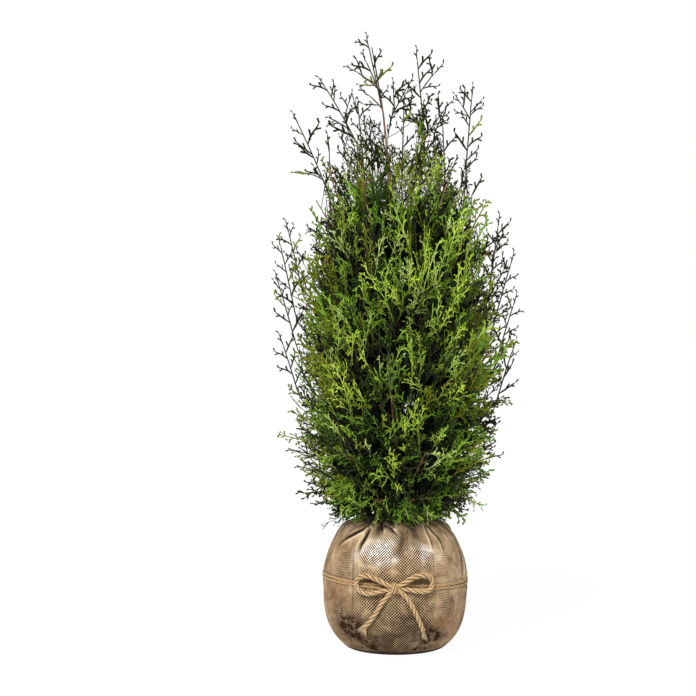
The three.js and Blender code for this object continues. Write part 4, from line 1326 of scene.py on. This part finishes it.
def twineMaterial(name, dark, pale, grooveShade):  # spun jute: dry straw-coloured fibres with lighter loose ones, and painted shade in the grooves between the plies
    material, tree, shader = newMaterial(name, Roughness=0.85, Specular_IOR_Level=0.25, Sheen_Weight=0.2)
    place = addNode(tree, "ShaderNodeTexCoord").outputs["Object"]
    patches = addNode(tree, "ShaderNodeTexNoise", {"Vector": place, "Scale": 1000 / 9, "Detail": 3.0})
    fibres = addNode(tree, "ShaderNodeTexNoise", {"Vector": place, "Scale": 1000 / 1.2, "Detail": 2.0})
    mixed = addNode(tree, "ShaderNodeMix", {"Factor": patches.outputs["Fac"], "A": toLinear(dark),
                                            "B": toLinear(pale)}, data_type="RGBA")
    darker = addNode(tree, "ShaderNodeMix", {"Factor": fibres.outputs["Fac"], "A": mixed.outputs["Result"],
                                             "B": toLinear("#7A5A34")}, data_type="RGBA")
    # painted shade in the grooves between the plies
    proud = addNode(tree, "ShaderNodeAttribute", attribute_name="proud").outputs["Fac"]
    groove = addNode(tree, "ShaderNodeMapRange", {"Value": proud, "From Min": 0.72, "From Max": -0.1, "To Max": grooveShade})
    shaded = addNode(tree, "ShaderNodeMix", {"Factor": groove.outputs[0], "A": darker.outputs["Result"],
                                             "B": toLinear("#3A2410")}, data_type="RGBA")
    tree.links.new(shaded.outputs["Result"], shader.inputs["Base Color"])
    bump = addNode(tree, "ShaderNodeBump", {"Height": fibres.outputs["Fac"], "Strength": 0.6, "Distance": 0.0005})
    tree.links.new(bump.outputs["Normal"], shader.inputs["Normal"])
    return material


def smoothPath(points, perSpan=8):  # Catmull-Rom through the points
    points = [Vector(p) for p in points]
    ends = [points[0] * 2 - points[1]] + points + [points[-1] * 2 - points[-2]]
    path = []
    for i in range(1, len(ends) - 2):
        a, b, c, d = ends[i - 1:i + 3]
        for k in range(perSpan):
            t = k / perSpan
            path.append(0.5 * (b * 2 + (c - a) * t + (a * 2 - b * 5 + c * 4 - d) * t ** 2
                               + (b * 3 - a - c * 3 + d) * t ** 3))
    return path + [points[-1]]


def onRing(x, z, radius):
    return Vector((x, -math.sqrt(max(radius * radius - x * x, 0)), z)) * mm


def tailPath(points):
    path = []
    for i, (x, z) in enumerate(points):
        lift = 4.0 + 4.5 * (1 - i / (len(points) - 1)) ** 2
        path.append(onRing(x, z, ballOutline(z) + lift))
    return smoothPath(path)


bow = {
    "leftLoop": ((-2, 140), (-13, 143), (-29, 151), (-49, 159), (-64, 157), (-71.5, 147), (-70, 134), (-57, 126),
                 (-40, 127), (-23, 132), (-2, 135)),
    "rightLoop": ((-2, 140), (8, 142), (20, 149), (34, 157), (50, 161), (63, 157.5), (69, 147), (66.5, 134.5), (57, 130),
                  (41, 131), (20, 135), (-2, 136)),
    "leftTail": ((-3, 134), (-10, 127), (-18, 117), (-27, 105), (-36, 89), (-46, 74), (-57, 61)),
    "rightTail": ((-1, 135), (11, 129), (22, 118), (31, 104), (39, 88), (46, 72), (52, 55)),
    "leftTassel": {"from": (-56, 63), "to": (-74, -52), "low": (51, 41), "fibres": 44},
    "rightTassel": {"from": (52, 56), "to": (49, 63), "low": (36, 31), "fibres": 30},
}


def loopPath(points, proud):  # loops stand away from the ball in their middle
    path = []
    for i, (x, z) in enumerate(points):
        t = i / (len(points) - 1)
        path.append(onRing(x, z, twine["bowRadius"] + proud * math.sin(math.pi * t) + (2.0 if t < 0.5 else -1.0)))
    return smoothPath(path)


def addTwist(name, path, thick, material, tree, replaced, lay=None, fuller=0):
    mesh = bpy.data.meshes.new("path")
    mesh.from_pydata([tuple(p) for p in path], [(i, i + 1) for i in range(len(path) - 1)], [])
    shares = [i / (len(path) - 1) for i in range(len(path))]
    girths = [1 + fuller * math.exp(-((t - 0.27) / 0.13) ** 2) for t in shares]
    mesh.attributes.new("girth", "FLOAT", "POINT").data.foreach_set("value", girths)
    carrier = bpy.data.objects.new("path", mesh)
    bpy.context.collection.objects.link(carrier)
    piece = bakeNodes(carrier, name, tree, Plies=twine["plies"], Thickness=thick * mm,
                      Lay=(lay or twine["lay"] * thick / 5.4) * mm, Finish=material)
    piece.data.transform(facing)
    piece.data.shade_smooth()
    joinFrame(piece, replaced)
    return piece


def addTassel(threads, look, rnd):  # the untwisted end: loose fibres that flare
    x0, z0 = look["from"]
    for i in range(look["fibres"]):
        t = (i + 0.5) / look["fibres"]
        x1, z1 = mix(*look["to"], t) + rnd.uniform(-1.5, 1.5), mix(*look["low"], t) + rnd.uniform(-3, 3)
        start = onRing(x0 + rnd.uniform(-1.2, 1.2), z0 + rnd.uniform(0, 3), ballOutline(z0) + rnd.uniform(1.5, 4.5))
        end = onRing(x1, z1, ballOutline(z1) + rnd.uniform(0.8, 3.4))
        middle = start.lerp(end, 0.45) + Vector((0, -1.0 * mm * rnd.random(), 0))
        points = [curveThrough((start, middle, end), k / 3) for k in range(4)]
        threads.add(points, [0.9 * mm, 0.95 * mm, 0.8 * mm], 0.8)


def addTwine():
    rnd = random.Random(9)
    tree = plyTree()
    jute = twineMaterial("spunJute", twine["colour"], twine["paler"], 0.78)
    taut = twineMaterial("tautJute", "#B8925C", "#D8B684", 0.5)
    loose = twineMaterial("looseJuteFibre", "#C6A66E", "#E9D3A6", 0.0)
    ring = hessian["radius"] - twine["groove"] + twine["thick"] * 0.42
    for k, name in ((1, "bandUpper"), (-1, "bandLower")):
        path = []
        for i in range(241):
            a = 2 * math.pi * i / 240
            wander = 0.5 * math.sin(5 * a + k)
            path.append(Vector((ring * math.sin(a), -ring * math.cos(a), bandHeight(a) + k * twine["apart"] + wander)) * mm)
        addTwist(name, path, twine["thick"], taut, tree, ["twine_band"], lay=45)
    thick = twine["bowThick"]
    addTwist("loopLeft", loopPath(bow["leftLoop"], 3), thick, jute, tree, ["bow_loop_left"], fuller=0.3)
    addTwist("loopRight", loopPath(bow["rightLoop"], 3), thick, jute, tree, ["bow_loop_right"], fuller=0.3)
    addTwist("tailLeft", tailPath(bow["leftTail"]), thick, jute, tree, ["bow_tail_left"])
    addTwist("tailRight", tailPath(bow["rightTail"]), thick, jute, tree, ["bow_tail_right"])
    wrap = []
    for i in range(34):
        a = 2 * math.pi * i / 20 - 2.2
        x, z, out = mix(-5.6, 1.6, i / 33), 137.5 + 8.4 * math.sin(a), 149.0 + 5.8 * math.cos(a)
        wrap.append(Vector((x, -out, z)) * mm)
    addTwist("knot", wrap, 6.2, jute, tree, ["bow_knot"], lay=70)
    ends = Threads()
    addTassel(ends, bow["leftTassel"], rnd)
    addTassel(ends, bow["rightTassel"], rnd)
    for i in range(90):  # loose fibres along the band
        a = rnd.uniform(-math.pi, math.pi)
        start = Vector((ring * math.sin(a), -ring * math.cos(a), bandHeight(a) + rnd.uniform(-4, 4))) * mm
        out = Vector((math.sin(a), -math.cos(a), rnd.uniform(-0.8, 0.8)))
        slide = Vector((math.cos(a), math.sin(a), 0)) * rnd.choice((-1, 1))
        end = start + (out * 0.5 + slide).normalized() * rnd.uniform(0.004, 0.009)
        ends.add([start, start.lerp(end, 0.5) + out * 0.001, end], [0.22 * mm, 0.18 * mm], 0.9)
    addPiece("looseFibres", [facing @ v for v in ends.verts], ends.faces, loose,
             ["bow_tail_left", "bow_tail_right"])


addTwine()

# ---- bark ----

bark = {
    "strip": "#7A5238", "peel": "#A58A70", "fissure": "#24150D", "young": "#23230F",
    "youngFrom": 1035, "youngTo": 1075,  # height over which the leader's bark is still green
    "sides": 30, "step": 3.2, "root": 250,
    "leaderHeights": (900, 960, 1040, 1100, 1196), "leaderRadii": (3.4, 2.1, 1.6, 1.25, 0.8),
}


def barkMaterial():  # thuja bark: reddish-brown fibrous strips that peel grey, dark in the fissures
    material, tree, shader = newMaterial("fibrousBark", Roughness=0.88, Specular_IOR_Level=0.2)
    way = addNode(tree, "ShaderNodeAttribute", attribute_name="barkWay").outputs["Vector"]
    long = addNode(tree, "ShaderNodeMapping", {"Vector": way, "Scale": (1.0, 1.0, 0.07)}).outputs[0]
    strips = addNode(tree, "ShaderNodeTexNoise", {"Vector": long, "Scale": 1000 / 1.6, "Detail": 4.0})
    patches = addNode(tree, "ShaderNodeTexNoise", {"Vector": long, "Scale": 1000 / 4.5, "Detail": 3.0})

    def blend(share, a, b):
        node = addNode(tree, "ShaderNodeMix", {"Factor": share, "B": toLinear(bark[b])}, data_type="RGBA")
        if isinstance(a, str):
            node.inputs["A"].default_value = toLinear(bark[a])
        else:
            tree.links.new(a, node.inputs["A"])
        return node.outputs["Result"]

    def ramp(value, low, high):
        return addNode(tree, "ShaderNodeMapRange", {"Value": value, "From Min": low, "From Max": high}).outputs[0]

    colour = blend(ramp(patches.outputs["Fac"], 0.5, 0.68), "strip", "peel")
    colour = blend(ramp(strips.outputs["Fac"], 0.52, 0.36), colour, "fissure")
    place = addNode(tree, "ShaderNodeTexCoord").outputs["Object"]
    height = addNode(tree, "ShaderNodeSeparateXYZ", {0: place}).outputs["Z"]
    colour = blend(ramp(height, bark["youngFrom"] * mm, bark["youngTo"] * mm), colour, "young")
    tree.links.new(colour, shader.inputs["Base Color"])
    bump = addNode(tree, "ShaderNodeBump", {"Height": strips.outputs["Fac"], "Strength": 0.8, "Distance": 0.001})
    tree.links.new(bump.outputs["Normal"], shader.inputs["Normal"])
    return material


def twigMaterial():  # this year's wood: thin green skin with brown flecks
    material, tree, shader = newMaterial("greenTwigBark", Roughness=0.65, Specular_IOR_Level=0.3)
    place = addNode(tree, "ShaderNodeTexCoord").outputs["Object"]
    flecks = addNode(tree, "ShaderNodeTexNoise", {"Vector": place, "Scale": 1000 / 7, "Detail": 3.0})
    colour = addNode(tree, "ShaderNodeMix", {"Factor": flecks.outputs["Fac"], "A": toLinear("#14180A"),
                                             "B": toLinear("#46401F")}, data_type="RGBA")
    tree.links.new(colour.outputs["Result"], shader.inputs["Base Color"])
    bump = addNode(tree, "ShaderNodeBump", {"Height": flecks.outputs["Fac"], "Strength": 0.3, "Distance": 0.0005})
    tree.links.new(bump.outputs["Normal"], shader.inputs["Normal"])
    return material


def addBark():
    count = round((trunkLine[-1][0].z / mm - bark["root"]) / bark["step"])
    course, radii = [], []
    frameHeights, frameRadii = [p.z for p, r in trunkLine], [r / mm for p, r in trunkLine]
    for i in range(count):
        z = mix(bark["root"], trunkLine[-1][0].z / mm, i / (count - 1))
        flare = 1 + 0.5 * math.exp(-(z - bark["root"]) / 18)  # the trunk widens into its roots
        r = float(np.interp(z * mm, frameHeights, frameRadii)) * flare
        course.append(trunkAt(z * mm))
        radii.append(min(r, float(np.interp(z, bark["leaderHeights"], bark["leaderRadii"]))) if z > 900 else r)
    limbs.add(course, 0, 0, bark["sides"], radii)
    finish = barkMaterial()
    for name, made, material in (("trunkAndBoughs", limbs, finish), ("greenTwigs", twigs, twigMaterial())):
        piece = addPiece(name, made.verts, made.faces, material, boughNames + ["trunk"])
        layer = piece.data.attributes.new("barkWay", "FLOAT_VECTOR", "POINT")
        layer.data.foreach_set("vector", [c for way in made.ways for c in way])
        print(name, len(made.faces), "faces")


addBark()
